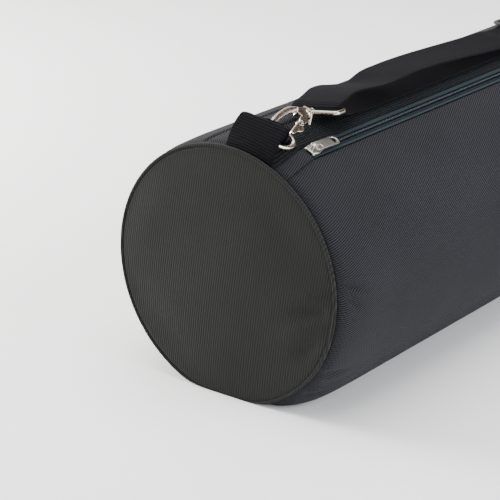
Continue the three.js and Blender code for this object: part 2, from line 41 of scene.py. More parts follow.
random = np.random.default_rng(11)
print("frame loaded,", len(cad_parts), "nodes")


# The drum, in millimetres, angles in degrees from straight up towards the zip
drum = {
    "rimX": 340, "rimRadius": 100, "rimHeight": 95, "bulge": 7.9, "sag": 4.8, "lean": 2.8,
    "swellLength": 14, "floorBlend": 4, "bodyEnd": 336.25,
    "farSeam": -12, "meshFrom": 3, "meshTo": 20.6, "zipAngle": 24.4, "zipSeam": 27.3,
    "meshFlare": 5, "coverFlare": 5.7, "flareFrom": 298, "flareBend": 1.4, "zipEnd": 300, "seamGap": 0.1,
}
fullRadius = drum["rimRadius"] + drum["bulge"]
foldColumns = ("x", "theta", "along", "across", "turn", "height")
folds = [
    (-318, 130, 27, 4.2, -22, 2.2),  # ridge low at the near end
    (-329, 138, 17, 3.6, -20, -4.6),
    (-331, 122.5, 13, 3.0, -15, -6.0),
    (-331, 80.5, 13, 2.6, 20, -6.5),  # pinches beside the end seam
    (-331, 86, 12, 2.6, 38, -5.2),
    (-316, 74, 20, 9, 14, -0.9),
    (-322, -70, 26, 8, 15, -1.8),
    (120, 105, 70, 9, 8, -1.6),
    (-60, 118, 80, 8, -6, -1.5),
    (40, -100, 90, 9, 5, -1.8),
    (316, 116, 26, 7, 20, 2.0),
    (318, -112, 24, 7, -16, 1.8),
]
gathers = {  # puckers at each end seam, spread over the body's angles
    "count": 44, "from": 30, "over": 318, "depth": (0.15, 0.75), "width": (1.2, 2.6), "reach": (6, 20),
}


def smoothstep(x, low, high):
    t = np.clip((x - low) / (high - low), 0, 1)
    return t * t * (3 - 2 * t)


def swell(x):
    return 1 - np.exp(-np.maximum(0, drum["rimX"] - np.abs(x)) / drum["swellLength"])


# A soft oval mark, turned by an angle, that is 1 in its middle
def softMark(dx, dy, turn, along, across):
    turn = math.radians(turn)
    u = (dx * math.cos(turn) + dy * math.sin(turn)) / along
    v = (dy * math.cos(turn) - dx * math.sin(turn)) / across
    return np.exp(-u ** 2 - v ** 2)


def foldHeight(x, theta):
    height = np.zeros(np.broadcast(x, theta).shape)
    for row in folds:
        fold = dict(zip(foldColumns, row))
        arc = np.radians(theta - fold["theta"]) * drum["rimRadius"]
        height += fold["height"] * softMark(x - fold["x"], arc, fold["turn"], fold["along"], fold["across"])
    return height


def seamPuckers():
    rows = []
    for side in (-1, 1):
        for i in range(gathers["count"]):
            middle = gathers["from"] + gathers["over"] * (i + random.uniform(0.1, 0.9)) / gathers["count"]
            rows.append([side, middle, *(random.uniform(*gathers[k]) for k in ("depth", "width", "reach"))])
    return rows


puckerRows = seamPuckers()


def puckerHeight(x, theta):
    height = np.zeros(np.broadcast(x, theta).shape)
    inside = drum["rimX"] - np.abs(x)
    for side, middle, depth, width, reach in puckerRows:
        near = np.where(np.sign(x) == side, np.exp(-inside / reach), 0)
        height -= depth * near * np.exp(-((theta - middle) / width) ** 2)
    return height


# Heights pressed up to the floor, with a soft turn where they meet it
def restOn(z, floor):
    depth = z - floor
    blend = drum["floorBlend"]
    bent = floor + (depth + blend) ** 2 / (4 * blend)
    return np.where(depth >= blend, z, np.where(depth <= -blend, floor, bent))


# A point of the drum's outside, moved out by offset and, where its cloth is loose, by that too
def drumPoints(x, theta, offset=0.0, loose=0.0):
    x, theta, offset = np.broadcast_arrays(np.asarray(x, float), theta, offset)
    full = swell(x)
    angle = np.radians(theta)
    height = (foldHeight(x, theta) + puckerHeight(x, theta)) * full + loose
    radius = drum["rimRadius"] + drum["bulge"] * full + height + offset
    y = drum["lean"] * (1 - full) - radius * np.sin(angle)
    z = drum["rimHeight"] - drum["sag"] * full + radius * np.cos(angle)
    return np.stack([x, y, restOn(z, -offset)], -1)


def topHeight(x, y):
    full = swell(x)
    radius = drum["rimRadius"] + drum["bulge"] * full
    side = y - drum["lean"] * (1 - full)
    return drum["rimHeight"] - drum["sag"] * full + np.sqrt(radius ** 2 - side ** 2)


# Meshes
def linked(name, data):
    made = bpy.data.objects.new(name, data)
    bpy.context.scene.collection.objects.link(made)
    return made


def evaluatedMesh(piece, name):
    graph = bpy.context.evaluated_depsgraph_get()
    mesh = bpy.data.meshes.new_from_object(piece.evaluated_get(graph))
    mesh.name = name
    return mesh


def vertexPlaces(mesh):
    places = np.zeros(len(mesh.vertices) * 3, np.float32)
    mesh.vertices.foreach_get("co", places)
    return places.reshape(-1, 3)


def smoothShade(mesh):
    mesh.polygons.foreach_set("use_smooth", np.ones(len(mesh.polygons), bool))


# Where each vertex lies on its flat cloth, kept as a map in metres
def setClothMap(mesh, places):
    corner = np.zeros(len(mesh.loops), np.int32)
    mesh.loops.foreach_get("vertex_index", corner)
    places = np.asarray(places).reshape(-1, 2) * mm
    mesh.uv_layers.new(name="cloth").data.foreach_set("uv", places[corner].astype(np.float32).ravel())


def signedVolume(points, faces):
    total = 0.0
    for face in faces:
        a, b, c = points[face[0]], points[face[1]], points[face[2]]
        total += a @ np.cross(b, c)
        if len(face) == 4:
            total += a @ np.cross(c, points[face[3]])
    return total


def meshPiece(name, points, faces, uv=None, closed=True):
    points = np.asarray(points, float).reshape(-1, 3)
    faces = [tuple(int(i) for i in face) for face in faces]
    if closed and signedVolume(points - points.mean(0), faces) < 0:
        faces = [face[::-1] for face in faces]
    mesh = bpy.data.meshes.new(name)
    mesh.from_pydata((points * mm).tolist(), [], faces)
    if uv is not None:
        setClothMap(mesh, uv)
    smoothShade(mesh)
    return linked(name, mesh)


def gridFaces(rows, columns, wrap=False, start=0):
    i, j = np.meshgrid(np.arange(rows - 1), np.arange(columns if wrap else columns - 1), indexing="ij")
    a = start + i * columns + j
    b = start + i * columns + (j + 1) % columns
    return np.stack([a, b, b + columns, a + columns], -1).reshape(-1, 4)


# Rings of points with a fan to a tip at each end: the two tips come last
def tubeFaces(rows, columns):
    tip = rows * columns
    last = tip - columns
    faces = [*gridFaces(rows, columns, True)]
    faces += [(tip, (j + 1) % columns, j) for j in range(columns)]
    faces += [(tip + 1, last + j, last + (j + 1) % columns) for j in range(columns)]
    return faces


# Two grids of points with the same rows and columns, closed all round into a wall
def wallFaces(rows, columns):
    half = rows * columns
    outer = gridFaces(rows, columns)
    inner = gridFaces(rows, columns, start=half)[:, ::-1]
    grid = np.arange(half).reshape(rows, columns)
    rim = np.concatenate([grid[0, :-1], grid[:-1, -1], grid[-1, :0:-1], grid[:0:-1, 0]])
    turned = np.roll(rim, -1)
    sides = np.stack([turned, rim, rim + half, turned + half], -1)
    return np.concatenate([outer, inner, sides])


# How far each point lies along its line
def lengthAlong(line):
    return np.concatenate([[0], np.cumsum(np.linalg.norm(np.diff(line, axis=0), axis=1))])


def unitRows(v):
    return v / np.linalg.norm(v, axis=-1, keepdims=True)


# A smooth curve through a table's rows, closer together where the rows are
def throughRows(table, spacing, least=4):
    table = np.asarray(table, float)
    step = np.maximum(np.linalg.norm(np.diff(table[:, :3], axis=0), axis=1), 1e-6)
    slope = np.diff(table, axis=0) / step[:, None]
    tangent = np.empty_like(table)
    before, after = step[:-1, None], step[1:, None]
    tangent[1:-1] = (slope[:-1] * after + slope[1:] * before) / (after + before)
    tangent[0], tangent[-1] = slope[0], slope[-1]
    out = []
    for i, h in enumerate(step):
        t = np.linspace(0, 1, max(least, math.ceil(h / spacing)), endpoint=False)[:, None]
        out.append((2 * t ** 3 - 3 * t ** 2 + 1) * table[i] + (t ** 3 - 2 * t ** 2 + t) * h * tangent[i]
                   + (3 * t ** 2 - 2 * t ** 3) * table[i + 1] + (t ** 3 - t ** 2) * h * tangent[i + 1])
    return np.vstack([*out, table[-1:]])


# A tube with an oval section, boxier as square grows: out is the direction of its first half width
def tubePiece(name, path, out, halfOut, halfSide, sides, wrap=False, square=2.0):
    along = np.roll(path, -1, 0) - np.roll(path, 1, 0) if wrap else np.gradient(path, axis=0)
    along = unitRows(along)
    out = np.broadcast_to(out, path.shape)
    out = unitRows(out - along * np.sum(out * along, -1, keepdims=True))
    side = np.cross(along, out)
    angle = np.linspace(0, 2 * np.pi, sides, endpoint=False)
    halfOut = np.broadcast_to(halfOut, len(path))[:, None, None]
    halfSide = np.broadcast_to(halfSide, len(path))[:, None, None]
    first, second = (np.sign(wave) * np.abs(wave) ** (2 / square) for wave in (np.cos(angle), np.sin(angle)))
    ring = halfOut * first[None, :, None] * out[:, None] + halfSide * second[None, :, None] * side[:, None]
    points = (path[:, None] + ring).reshape(-1, 3)
    if wrap:
        faces = gridFaces(len(path) + 1, sides, True) % len(points)
        return meshPiece(name, points, faces)
    return meshPiece(name, np.vstack([points, path[:1], path[-1:]]), tubeFaces(len(path), sides))


# A piece turned round the x axis from a profile of radius and place along the axis
def turnedPiece(name, profile, sides=32):
    profile = np.asarray(profile, float)
    angle = np.linspace(0, 2 * np.pi, sides, endpoint=False)
    ring = np.stack([np.broadcast_to(profile[:, 1:2], (len(profile), sides)),
                     profile[:, :1] * np.cos(angle), profile[:, :1] * np.sin(angle)], -1)
    points = np.vstack([ring.reshape(-1, 3), [profile[0, 1], 0, 0], [profile[-1, 1], 0, 0]])
    return meshPiece(name, points, tubeFaces(len(profile), sides))


# An outline from its half below the middle line, mirrored above it
def bothSides(half):
    return half + [(u, -v) for u, v in half[::-1]]


# Corners of an outline turned into short arcs
def rounded(outline, radius, steps=5):
    outline = np.asarray(outline, float)
    out = []
    for i, corner in enumerate(outline):
        before, after = outline[i - 1] - corner, outline[(i + 1) % len(outline)] - corner
        reach = min(radius, 0.45 * np.linalg.norm(before), 0.45 * np.linalg.norm(after))
        start, end = corner + reach * unitRows(before), corner + reach * unitRows(after)
        t = np.linspace(0, 1, steps)[:, None]
        out.append((1 - t) ** 2 * start + 2 * t * (1 - t) * corner + t ** 2 * end)
    return np.vstack(out)


# A flat plate in the u-v plane with holes and softly rounded edges
def platePiece(name, outline, holes, thick, edge):
    curve = bpy.data.curves.new(name, "CURVE")
    curve.dimensions = "2D"
    curve.fill_mode = "BOTH"
    curve.extrude = (thick / 2 - edge) * mm
    curve.bevel_depth = edge * mm
    curve.bevel_resolution = 2
    curve.offset = -edge * mm
    for line in (outline, *holes):
        spline = curve.splines.new("POLY")
        spline.points.add(len(line) - 1)
        corners = np.column_stack([np.asarray(line) * mm, np.zeros(len(line)), np.ones(len(line))])
        spline.points.foreach_set("co", corners.ravel())
        spline.use_cyclic_u = True
    holder = linked(name, curve)
    mesh = evaluatedMesh(holder, name)
    bpy.data.objects.remove(holder)
    return linked(name, mesh)


# One mesh from several, its shape left as it is, with flat faces kept flat
def joined(name, pieces, matrix=None, sharpAngle=40):
    points, faces = [], []
    count = 0
    for piece in pieces:
        points.append(vertexPlaces(piece.data))
        faces += [tuple(count + i for i in polygon.vertices) for polygon in piece.data.polygons]
        count += len(piece.data.vertices)
        bpy.data.objects.remove(piece)
    mesh = bpy.data.meshes.new(name)
    mesh.from_pydata(np.vstack(points).tolist(), [], faces)
    if matrix is not None:
        mesh.transform(matrix)
    smoothShade(mesh)
    mesh.set_sharp_from_angle(angle=math.radians(sharpAngle))
    return linked(name, mesh)


def mirroredPiece(piece, name):
    mesh = piece.data.copy()
    mesh.name = name
    mesh.transform(Matrix.Scale(-1, 4, (1, 0, 0)))
    mesh.flip_normals()
    return linked(name, mesh)


def placeMatrix(axes, origin):
    columns = np.column_stack(axes)
    matrix = Matrix.Identity(4)
    for row in range(3):
        for column in range(3):
            matrix[row][column] = columns[row][column]
        matrix[row][3] = origin[row] * mm
    return matrix


# Materials
def linear(hexText):
    parts = [int(hexText[i:i + 2], 16) / 255 for i in (1, 3, 5)]
    return (*(p / 12.92 if p <= 0.04045 else ((p + 0.055) / 1.055) ** 2.4 for p in parts), 1.0)


def addNode(tree, kind, settings=None, inputs=None):
    made = tree.nodes.new(kind)
    for key, value in (settings or {}).items():
        setattr(made, key, value)
    for key, value in (inputs or {}).items():
        if isinstance(value, bpy.types.NodeSocket):
            tree.links.new(value, made.inputs[key])
        else:
            made.inputs[key].default_value = value
    return made


def newMaterial(name, **sockets):
    material = bpy.data.materials.new(name)
    material.use_nodes = True
    tree = material.node_tree
    shader = tree.nodes["Principled BSDF"]
    for key, value in sockets.items():
        shader.inputs[key].default_value = value
    return material, tree, shader


waveUnit = math.pi / 10  # a Wave texture at this scale repeats once in each unit
yarns = {"hair": 0.9, "relief": 0.35, "tone": (0.88, 1.12)}  # mm, mm and how far the cloth's tone drifts


# Lines at an angle with broken-up yarns, bumped, over the piece's own cloth map in metres. Sizes are in mm.
def weave(tree, shader, pitch, angle, dash, dashShare, colours, bump, fuzz, fadeSize):
    uv = addNode(tree, "ShaderNodeUVMap", {"uv_map": "cloth"})
    turned = addNode(tree, "ShaderNodeMapping", inputs={
        "Vector": uv.outputs["UV"], "Rotation": (0, 0, math.radians(angle))})
    lines = addNode(tree, "ShaderNodeTexWave", inputs={
        "Vector": turned.outputs[0], "Scale": waveUnit / (pitch * mm), "Distortion": 1.1, "Detail": 1.0,
        "Detail Scale": 1.4})
    dashes = addNode(tree, "ShaderNodeTexWave", {"bands_direction": "Y"}, {
        "Vector": turned.outputs[0], "Scale": waveUnit / (dash * mm), "Distortion": 2.2, "Detail": 1.0,
        "Detail Scale": 1.2})
    hairs = addNode(tree, "ShaderNodeTexNoise", inputs={
        "Vector": uv.outputs["UV"], "Scale": 1 / (yarns["hair"] * mm), "Detail": 3.0, "Roughness": 0.6})
    fade = addNode(tree, "ShaderNodeTexNoise", inputs={
        "Vector": uv.outputs["UV"], "Scale": 1 / (fadeSize * mm), "Detail": 3.0, "Roughness": 0.55})
    broken = addNode(tree, "ShaderNodeMath", {"operation": "MULTIPLY_ADD"}, {
        0: dashes.outputs["Fac"], 1: dashShare, 2: lines.outputs["Fac"]})
    height = addNode(tree, "ShaderNodeMath", {"operation": "MULTIPLY_ADD"}, {
        0: hairs.outputs["Fac"], 1: fuzz, 2: broken.outputs[0]})
    level = addNode(tree, "ShaderNodeMapRange", inputs={
        "Value": height.outputs[0], "From Min": 0.2, "From Max": 0.8 + dashShare + fuzz})
    yarn = addNode(tree, "ShaderNodeMix", {"data_type": "RGBA"}, {
        0: level.outputs[0], 6: linear(colours[0]), 7: linear(colours[1])})
    tone = addNode(tree, "ShaderNodeMapRange", inputs={
        "Value": fade.outputs["Fac"], "From Min": 0.25, "From Max": 0.75,
        "To Min": yarns["tone"][0], "To Max": yarns["tone"][1]})
    worn = addNode(tree, "ShaderNodeVectorMath", {"operation": "SCALE"}, {
        0: yarn.outputs[2], "Scale": tone.outputs[0]})
    raised = addNode(tree, "ShaderNodeBump", inputs={
        "Height": height.outputs[0], "Strength": bump, "Distance": yarns["relief"] * mm})
    tree.links.new(worn.outputs[0], shader.inputs["Base Color"])
    tree.links.new(raised.outputs[0], shader.inputs["Normal"])


# Cotton canvas woven in a steep twill: matt and slightly hairy, with broken lines of yarn. The real lines are
# about 1 mm apart, and are drawn 1.6 mm apart so that they show.
def bodyCanvasMaterial():
    material, tree, shader = newMaterial("cottonTwillSlate", **{
        "Roughness": 0.95, "Specular IOR Level": 0.06, "Sheen Weight": 0.03, "Sheen Roughness": 0.5})
    weave(tree, shader, pitch=1.6, angle=-64, dash=2.6, dashShare=0.15, colours=("#0d0e10", "#313135"),
          bump=0.8, fuzz=0.4, fadeSize=70)
    return material


# The same canvas cut for the round ends, a little warmer, hairier and with the twill nearly upright. Its
# lines are drawn about twice as far apart as the real ones, so that they show.
def endCanvasMaterial():
    material, tree, shader = newMaterial("cottonTwillCharcoal", **{
        "Roughness": 0.95, "Specular IOR Level": 0.06, "Sheen Weight": 0.03, "Sheen Roughness": 0.5})
    weave(tree, shader, pitch=2.05, angle=-9, dash=3.0, dashShare=0.1, colours=("#141514", "#2d2e2d"),
          bump=0.5, fuzz=0.9, fadeSize=70)
    return material


# Woven polyester webbing: flat black ribs across the band, broken by the warp, with hardly any shine. They
# are drawn coarser than the real ones.
def webbingMaterial():
    material, tree, shader = newMaterial("polyesterWebbingBlack", **{
        "Roughness": 0.85, "Specular IOR Level": 0.05, "Sheen Weight": 0.01, "Sheen Roughness": 0.4})
    weave(tree, shader, pitch=2.1, angle=0, dash=1.5, dashShare=0.5, colours=("#020203", "#17161b"),
          bump=1.0, fuzz=0.3, fadeSize=120)
    return material


# Knitted polyester spacer mesh: black filament with a slight shine. Its holes are in the geometry.
def meshMaterial():
    material, tree, shader = newMaterial("polyesterSpacerMesh", **{
        "Roughness": 0.7, "Specular IOR Level": 0.2})
    weave(tree, shader, pitch=0.7, angle=0, dash=0.7, dashShare=0.3, colours=("#060708", "#25292c"),
          bump=0.6, fuzz=0.5, fadeSize=90)
    return material


# Woven polyester zip tape: matt, blue-grey, with a slanting weave that is drawn coarser than the real one
def tapeMaterial():
    material, tree, shader = newMaterial("polyesterZipTape", **{
        "Roughness": 0.85, "Specular IOR Level": 0.1})
    weave(tree, shader, pitch=1.1, angle=45, dash=0.9, dashShare=0.3, colours=("#192025", "#353e44"),
          bump=0.5, fuzz=0.2, fadeSize=60)
    return material


# Drawn nylon monofilament of the zip coil: dark and satin. On the heads that mesh its colour is made paler as
# a painted highlight for their glints, and its roughness a little lower
def coilMaterial(name, colours, roughness):
    material, tree, shader = newMaterial(name, **{"Specular IOR Level": 0.05})
    grain = addNode(tree, "ShaderNodeTexCoord")
    noise = addNode(tree, "ShaderNodeTexNoise", inputs={
        "Vector": grain.outputs["Object"], "Scale": 1 / (1.5 * mm), "Detail": 2.0})
    tone = addNode(tree, "ShaderNodeMix", {"data_type": "RGBA"}, {
        0: noise.outputs["Fac"], 6: linear(colours[0]), 7: linear(colours[1])})
    rough = addNode(tree, "ShaderNodeMapRange", inputs={
        "Value": noise.outputs["Fac"], "To Min": roughness[0], "To Max": roughness[1]})
    tree.links.new(tone.outputs[2], shader.inputs["Base Color"])
    tree.links.new(rough.outputs[0], shader.inputs["Roughness"])
    return material


# Nickel plate on die-cast zinc: bright and warm, with soft handling marks
def nickelMaterial(name, colours, roughness):
    material, tree, shader = newMaterial(name, **{"Metallic": 1.0})
    place = addNode(tree, "ShaderNodeTexCoord")
    marks = addNode(tree, "ShaderNodeTexNoise", inputs={
        "Vector": place.outputs["Object"], "Scale": 1 / (2.5 * mm), "Detail": 5.0, "Roughness": 0.7})
    cast = addNode(tree, "ShaderNodeTexNoise", inputs={
        "Vector": place.outputs["Object"], "Scale": 1 / (6 * mm), "Detail": 2.0})
    tone = addNode(tree, "ShaderNodeMix", {"data_type": "RGBA"}, {
        0: cast.outputs["Fac"], 6: linear(colours[0]), 7: linear(colours[1])})
    rough = addNode(tree, "ShaderNodeMapRange", inputs={
        "Value": marks.outputs["Fac"], "From Min": 0.3, "From Max": 0.7,
        "To Min": roughness[0], "To Max": roughness[1]})
    uneven = addNode(tree, "ShaderNodeBump", inputs={
        "Height": marks.outputs["Fac"], "Strength": 0.12, "Distance": 0.2 * mm})
    tree.links.new(tone.outputs[2], shader.inputs["Base Color"])
    tree.links.new(rough.outputs[0], shader.inputs["Roughness"])
    tree.links.new(uneven.outputs[0], shader.inputs["Normal"])
    return material


# Injection-moulded acetal of the strap slider: black, fine spark-eroded grain
def acetalMaterial():
    material, tree, shader = newMaterial("acetalBlack", **{"Specular IOR Level": 0.5})
    place = addNode(tree, "ShaderNodeTexCoord")
    grain = addNode(tree, "ShaderNodeTexNoise", inputs={
        "Vector": place.outputs["Object"], "Scale": 1 / (0.5 * mm), "Detail": 2.0})
    tone = addNode(tree, "ShaderNodeMix", {"data_type": "RGBA"}, {
        0: grain.outputs["Fac"], 6: linear("#121213"), 7: linear("#202022")})
    rough = addNode(tree, "ShaderNodeMapRange", inputs={
        "Value": grain.outputs["Fac"], "To Min": 0.38, "To Max": 0.52})
    raised = addNode(tree, "ShaderNodeBump", inputs={
        "Height": grain.outputs["Fac"], "Strength": 0.25, "Distance": 0.1 * mm})
    tree.links.new(tone.outputs[2], shader.inputs["Base Color"])
    tree.links.new(rough.outputs[0], shader.inputs["Roughness"])
    tree.links.new(raised.outputs[0], shader.inputs["Normal"])
    return material


# Spun polyester sewing thread: twisted, dark and a little smoother than the cloth
def threadMaterial(name, colours):
    material, tree, shader = newMaterial(name, **{"Roughness": 0.75, "Specular IOR Level": 0.08})
    place = addNode(tree, "ShaderNodeTexCoord")
    twist = addNode(tree, "ShaderNodeTexWave", {"bands_direction": "DIAGONAL"}, {
        "Vector": place.outputs["Object"], "Scale": waveUnit / (0.4 * mm), "Distortion": 1.0})
    tone = addNode(tree, "ShaderNodeMix", {"data_type": "RGBA"}, {
        0: twist.outputs["Fac"], 6: linear(colours[0]), 7: linear(colours[1])})
    tree.links.new(tone.outputs[2], shader.inputs["Base Color"])
    return material


materials = {
    "bodyCanvas": bodyCanvasMaterial(),
    "endCanvas": endCanvasMaterial(),
    "webbing": webbingMaterial(),
    "mesh": meshMaterial(),
    "tape": tapeMaterial(),
    "coil": coilMaterial("nylonCoil", ("#030405", "#0b0e10"), (0.5, 0.7)),
    # the coil heads' paler colour is a painted highlight for their glints
    "coilHeadsPaintedHighlight": coilMaterial("nylonCoilHeadsPaintedHighlight", ("#343c42", "#687076"), (0.4, 0.55)),
    "hookNickel": nickelMaterial("polishedNickel", ("#b4aba0", "#d2cabe"), (0.2, 0.34)),
    "zipNickel": nickelMaterial("satinNickel", ("#b9b6b0", "#d6d3cc"), (0.26, 0.4)),
    "acetal": acetalMaterial(),
    "darkThread": threadMaterial("threadCharcoal", ("#060606", "#121211")),
}
print("materials made:", len(materials))


def finishPiece(piece, finish, body="bag", stands=()):
    piece.data.materials.clear()
    piece.data.materials.append(materials[finish])
    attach(piece, body)
    if stands:
        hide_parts(*stands)
    return piece


# Geometry Nodes
def newTree(name, inputs):
    tree = bpy.data.node_groups.new(name, "GeometryNodeTree")
    for label, kind, value in inputs:
        socket = tree.interface.new_socket(label, in_out="INPUT", socket_type="NodeSocket" + kind)
        if value is not None:
            socket.default_value = value
    tree.interface.new_socket("Geometry", in_out="OUTPUT", socket_type="NodeSocketGeometry")
    return tree


def closeTree(tree, geometry, material):
    real = addNode(tree, "GeometryNodeRealizeInstances", inputs={"Geometry": geometry})
    dressed = addNode(tree, "GeometryNodeSetMaterial", inputs={
        "Geometry": real.outputs[0], "Material": material})
    addNode(tree, "NodeGroupOutput", inputs={"Geometry": dressed.outputs[0]})
    return tree


# Small rounded bars along a line of edges: stitches lie along it, zip teeth across it
def barTree(name, alongLine):
    tree = newTree(name, (
        ("Line", "Geometry", None), ("Pitch", "Float", 0.003), ("Bar", "Vector", (0.0012, 0.0003, 0.0003)),
        ("Turn", "Rotation", None), ("Finish", "Material", None)))
    given = addNode(tree, "NodeGroupInput").outputs
    curve = addNode(tree, "GeometryNodeMeshToCurve", inputs={"Mesh": given["Line"]})
    spaced = addNode(tree, "GeometryNodeResampleCurve", {"mode": "LENGTH"}, {
        "Curve": curve.outputs[0], "Length": given["Pitch"]})
    turn = given["Turn"]
    if alongLine:
        tangent = addNode(tree, "GeometryNodeInputTangent")
        turn = addNode(tree, "FunctionNodeAlignRotationToVector", {"axis": "X"}, {
            "Vector": tangent.outputs[0]}).outputs[0]
    ball = addNode(tree, "GeometryNodeMeshUVSphere", inputs={"Segments": 8, "Rings": 6, "Radius": 1.0})
    soft = addNode(tree, "GeometryNodeSetShadeSmooth", inputs={"Geometry": ball.outputs["Mesh"]})
    bars = addNode(tree, "GeometryNodeInstanceOnPoints", inputs={
        "Points": spaced.outputs[0], "Instance": soft.outputs[0], "Rotation": turn, "Scale": given["Bar"]})
    return closeTree(tree, bars.outputs[0], given["Finish"])


# A flat sheet of knit with a six-sided hole in every cell
def holeTree():
    tree = newTree("knitHoles", (
        ("Sheet", "Geometry", None), ("Length", "Float", 0.6), ("Width", "Float", 0.03),
        ("Pitch", "Float", 0.0028), ("Rows", "Int", 12), ("Columns", "Int", 200), ("Hole", "Float", 0.66),
        ("Finish", "Material", None)))
    given = addNode(tree, "NodeGroupInput").outputs
    grid = addNode(tree, "GeometryNodeMeshGrid", inputs={
        "Size X": given["Length"], "Size Y": given["Width"],
        "Vertices X": given["Columns"], "Vertices Y": given["Rows"]})
    index = addNode(tree, "GeometryNodeInputIndex")
    row = addNode(tree, "ShaderNodeMath", {"operation": "MODULO"}, {0: index.outputs[0], 1: given["Rows"]})
    odd = addNode(tree, "ShaderNodeMath", {"operation": "MODULO"}, {0: row.outputs[0], 1: 2.0})
    shift = addNode(tree, "ShaderNodeMath", {"operation": "MULTIPLY"}, {0: odd.outputs[0], 1: given["Pitch"]})
    half = addNode(tree, "ShaderNodeMath", {"operation": "MULTIPLY"}, {0: shift.outputs[0], 1: 0.5})
    offset = addNode(tree, "ShaderNodeCombineXYZ", inputs={"X": half.outputs[0]})
    moved = addNode(tree, "GeometryNodeSetPosition", inputs={
        "Geometry": grid.outputs["Mesh"], "Offset": offset.outputs[0]})
    split = addNode(tree, "GeometryNodeTriangulate", {"quad_method": "SHORTEST_DIAGONAL"}, {
        "Mesh": moved.outputs[0]})
    cells = addNode(tree, "GeometryNodeDualMesh", inputs={"Mesh": split.outputs[0]})
    lifted = addNode(tree, "GeometryNodeExtrudeMesh", {"mode": "FACES"}, {
        "Mesh": cells.outputs[0], "Offset Scale": 0.0, "Individual": True})
    shrunk = addNode(tree, "GeometryNodeScaleElements", {"domain": "FACE"}, {
        "Geometry": lifted.outputs["Mesh"], "Selection": lifted.outputs["Top"], "Scale": given["Hole"]})
    opened = addNode(tree, "GeometryNodeDeleteGeometry", {"domain": "FACE", "mode": "ALL"}, {
        "Geometry": shrunk.outputs[0], "Selection": lifted.outputs["Top"]})
    return closeTree(tree, opened.outputs[0], given["Finish"])


# A tree's result as a plain mesh, from a line of points where it needs one
def grown(name, tree, values, points=None, closed=False):
    mesh = bpy.data.meshes.new(name)
    if points is not None:
        count = len(points)
        edges = [(i, (i + 1) % count) for i in range(count if closed else count - 1)]
        mesh.from_pydata((np.asarray(points) * mm).tolist(), edges, [])
    piece = linked(name, mesh)
    modifier = piece.modifiers.new("grow", "NODES")
    modifier.node_group = tree
    sockets = {item.name: item.identifier for item in tree.interface.items_tree if item.in_out == "INPUT"}
    for label, value in values.items():
        modifier[sockets[label]] = value
    made = evaluatedMesh(piece, name)
    piece.modifiers.clear()
    piece.data = made
    return piece


stitchNodes = barTree("stitchLine", True)
toothNodes = barTree("zipTeeth", False)
knitNodes = holeTree()


# Canvas panels of the drum
panel = {
    "wall": 1.6, "edgeDrop": 1.5, "edgeSoft": 1.6, "seamDrop": 3.0, "seamSoft": 2.0,
    "fine": 1.6, "coarse": 7.0, "fineReach": 110,  # steps along the bag, finer towards its ends
    "bodyColumns": 340, "topColumns": 16, "coverColumns": 14, "evenUpTo": 20, "closerEdges": 0.35,
    "coverPast": 0.3, "coverRise": 0.4, "coverWall": 1.4,
}


# The seams beside the zip spread towards the round ends
def flare(x):
    past = np.maximum(0, np.abs(x) - drum["flareFrom"])
    return (past / (drum["rimX"] - drum["flareFrom"])) ** drum["flareBend"]


def meshEdge(x):
    return drum["meshTo"] + drum["meshFlare"] * flare(x)


def bodyEdge(x):
    return drum["zipSeam"] + drum["coverFlare"] * flare(x)


# An edge moved round by some degrees, as a function of the place along the bag
def movedEdge(edge, shift):
    return lambda x: edge(x) + shift


def stationsAlong(low, high):
    fine, coarse = panel["fine"], panel["coarse"]
    xs, x = [low], low
    while x < high:
        depth = drum["bodyEnd"] - abs(x)
        x += fine + (coarse - fine) * min(1.0, max(0.0, depth) / panel["fineReach"])
        xs.append(min(x, high))
    return np.array(xs)


# Weights that draw a smooth curve through evenly spaced values
def splineWeights(share, count):
    place = np.clip(share, 0, 1) * (count - 1)
    base = np.minimum(place.astype(int), count - 2)
    f = place - base
    weights = np.zeros((len(place), count))
    parts = (-0.5 * f ** 3 + f ** 2 - 0.5 * f, 1.5 * f ** 3 - 2.5 * f ** 2 + 1,
             -1.5 * f ** 3 + 2 * f ** 2 + 0.5 * f, 0.5 * f ** 3 - 0.5 * f ** 2)
    for step, part in zip((-1, 0, 1, 2), parts):
        np.add.at(weights, (np.arange(len(place)), np.clip(base + step, 0, count - 1)), part)
    return weights


# The body canvas simulated as a coarse sheet held at its seams and where the floor presses it, a little
# larger than its pattern and pushed out from inside. Gives how far each of its points comes out.
slack = {
    "rows": 105, "columns": 93, "frames": 26, "quality": 5, "cap": 2.5,
    "weight": 2e-5,  # kg at each point, as canvas of about 450 g a square metre
    "larger": 0.001,  # spare cloth, as a share of its length
    "push": 30, "bed": 0.01,  # the filling's push in Pa, and how softly it holds the cloth
    "stretch": 20, "shear": 8, "bend": 8, "air": 3,
    "pressed": 1.0,  # points below this height are held by the floor
    "flatTo": 35, "freeFrom": 75,  # degrees from straight down between which the slack begins
}


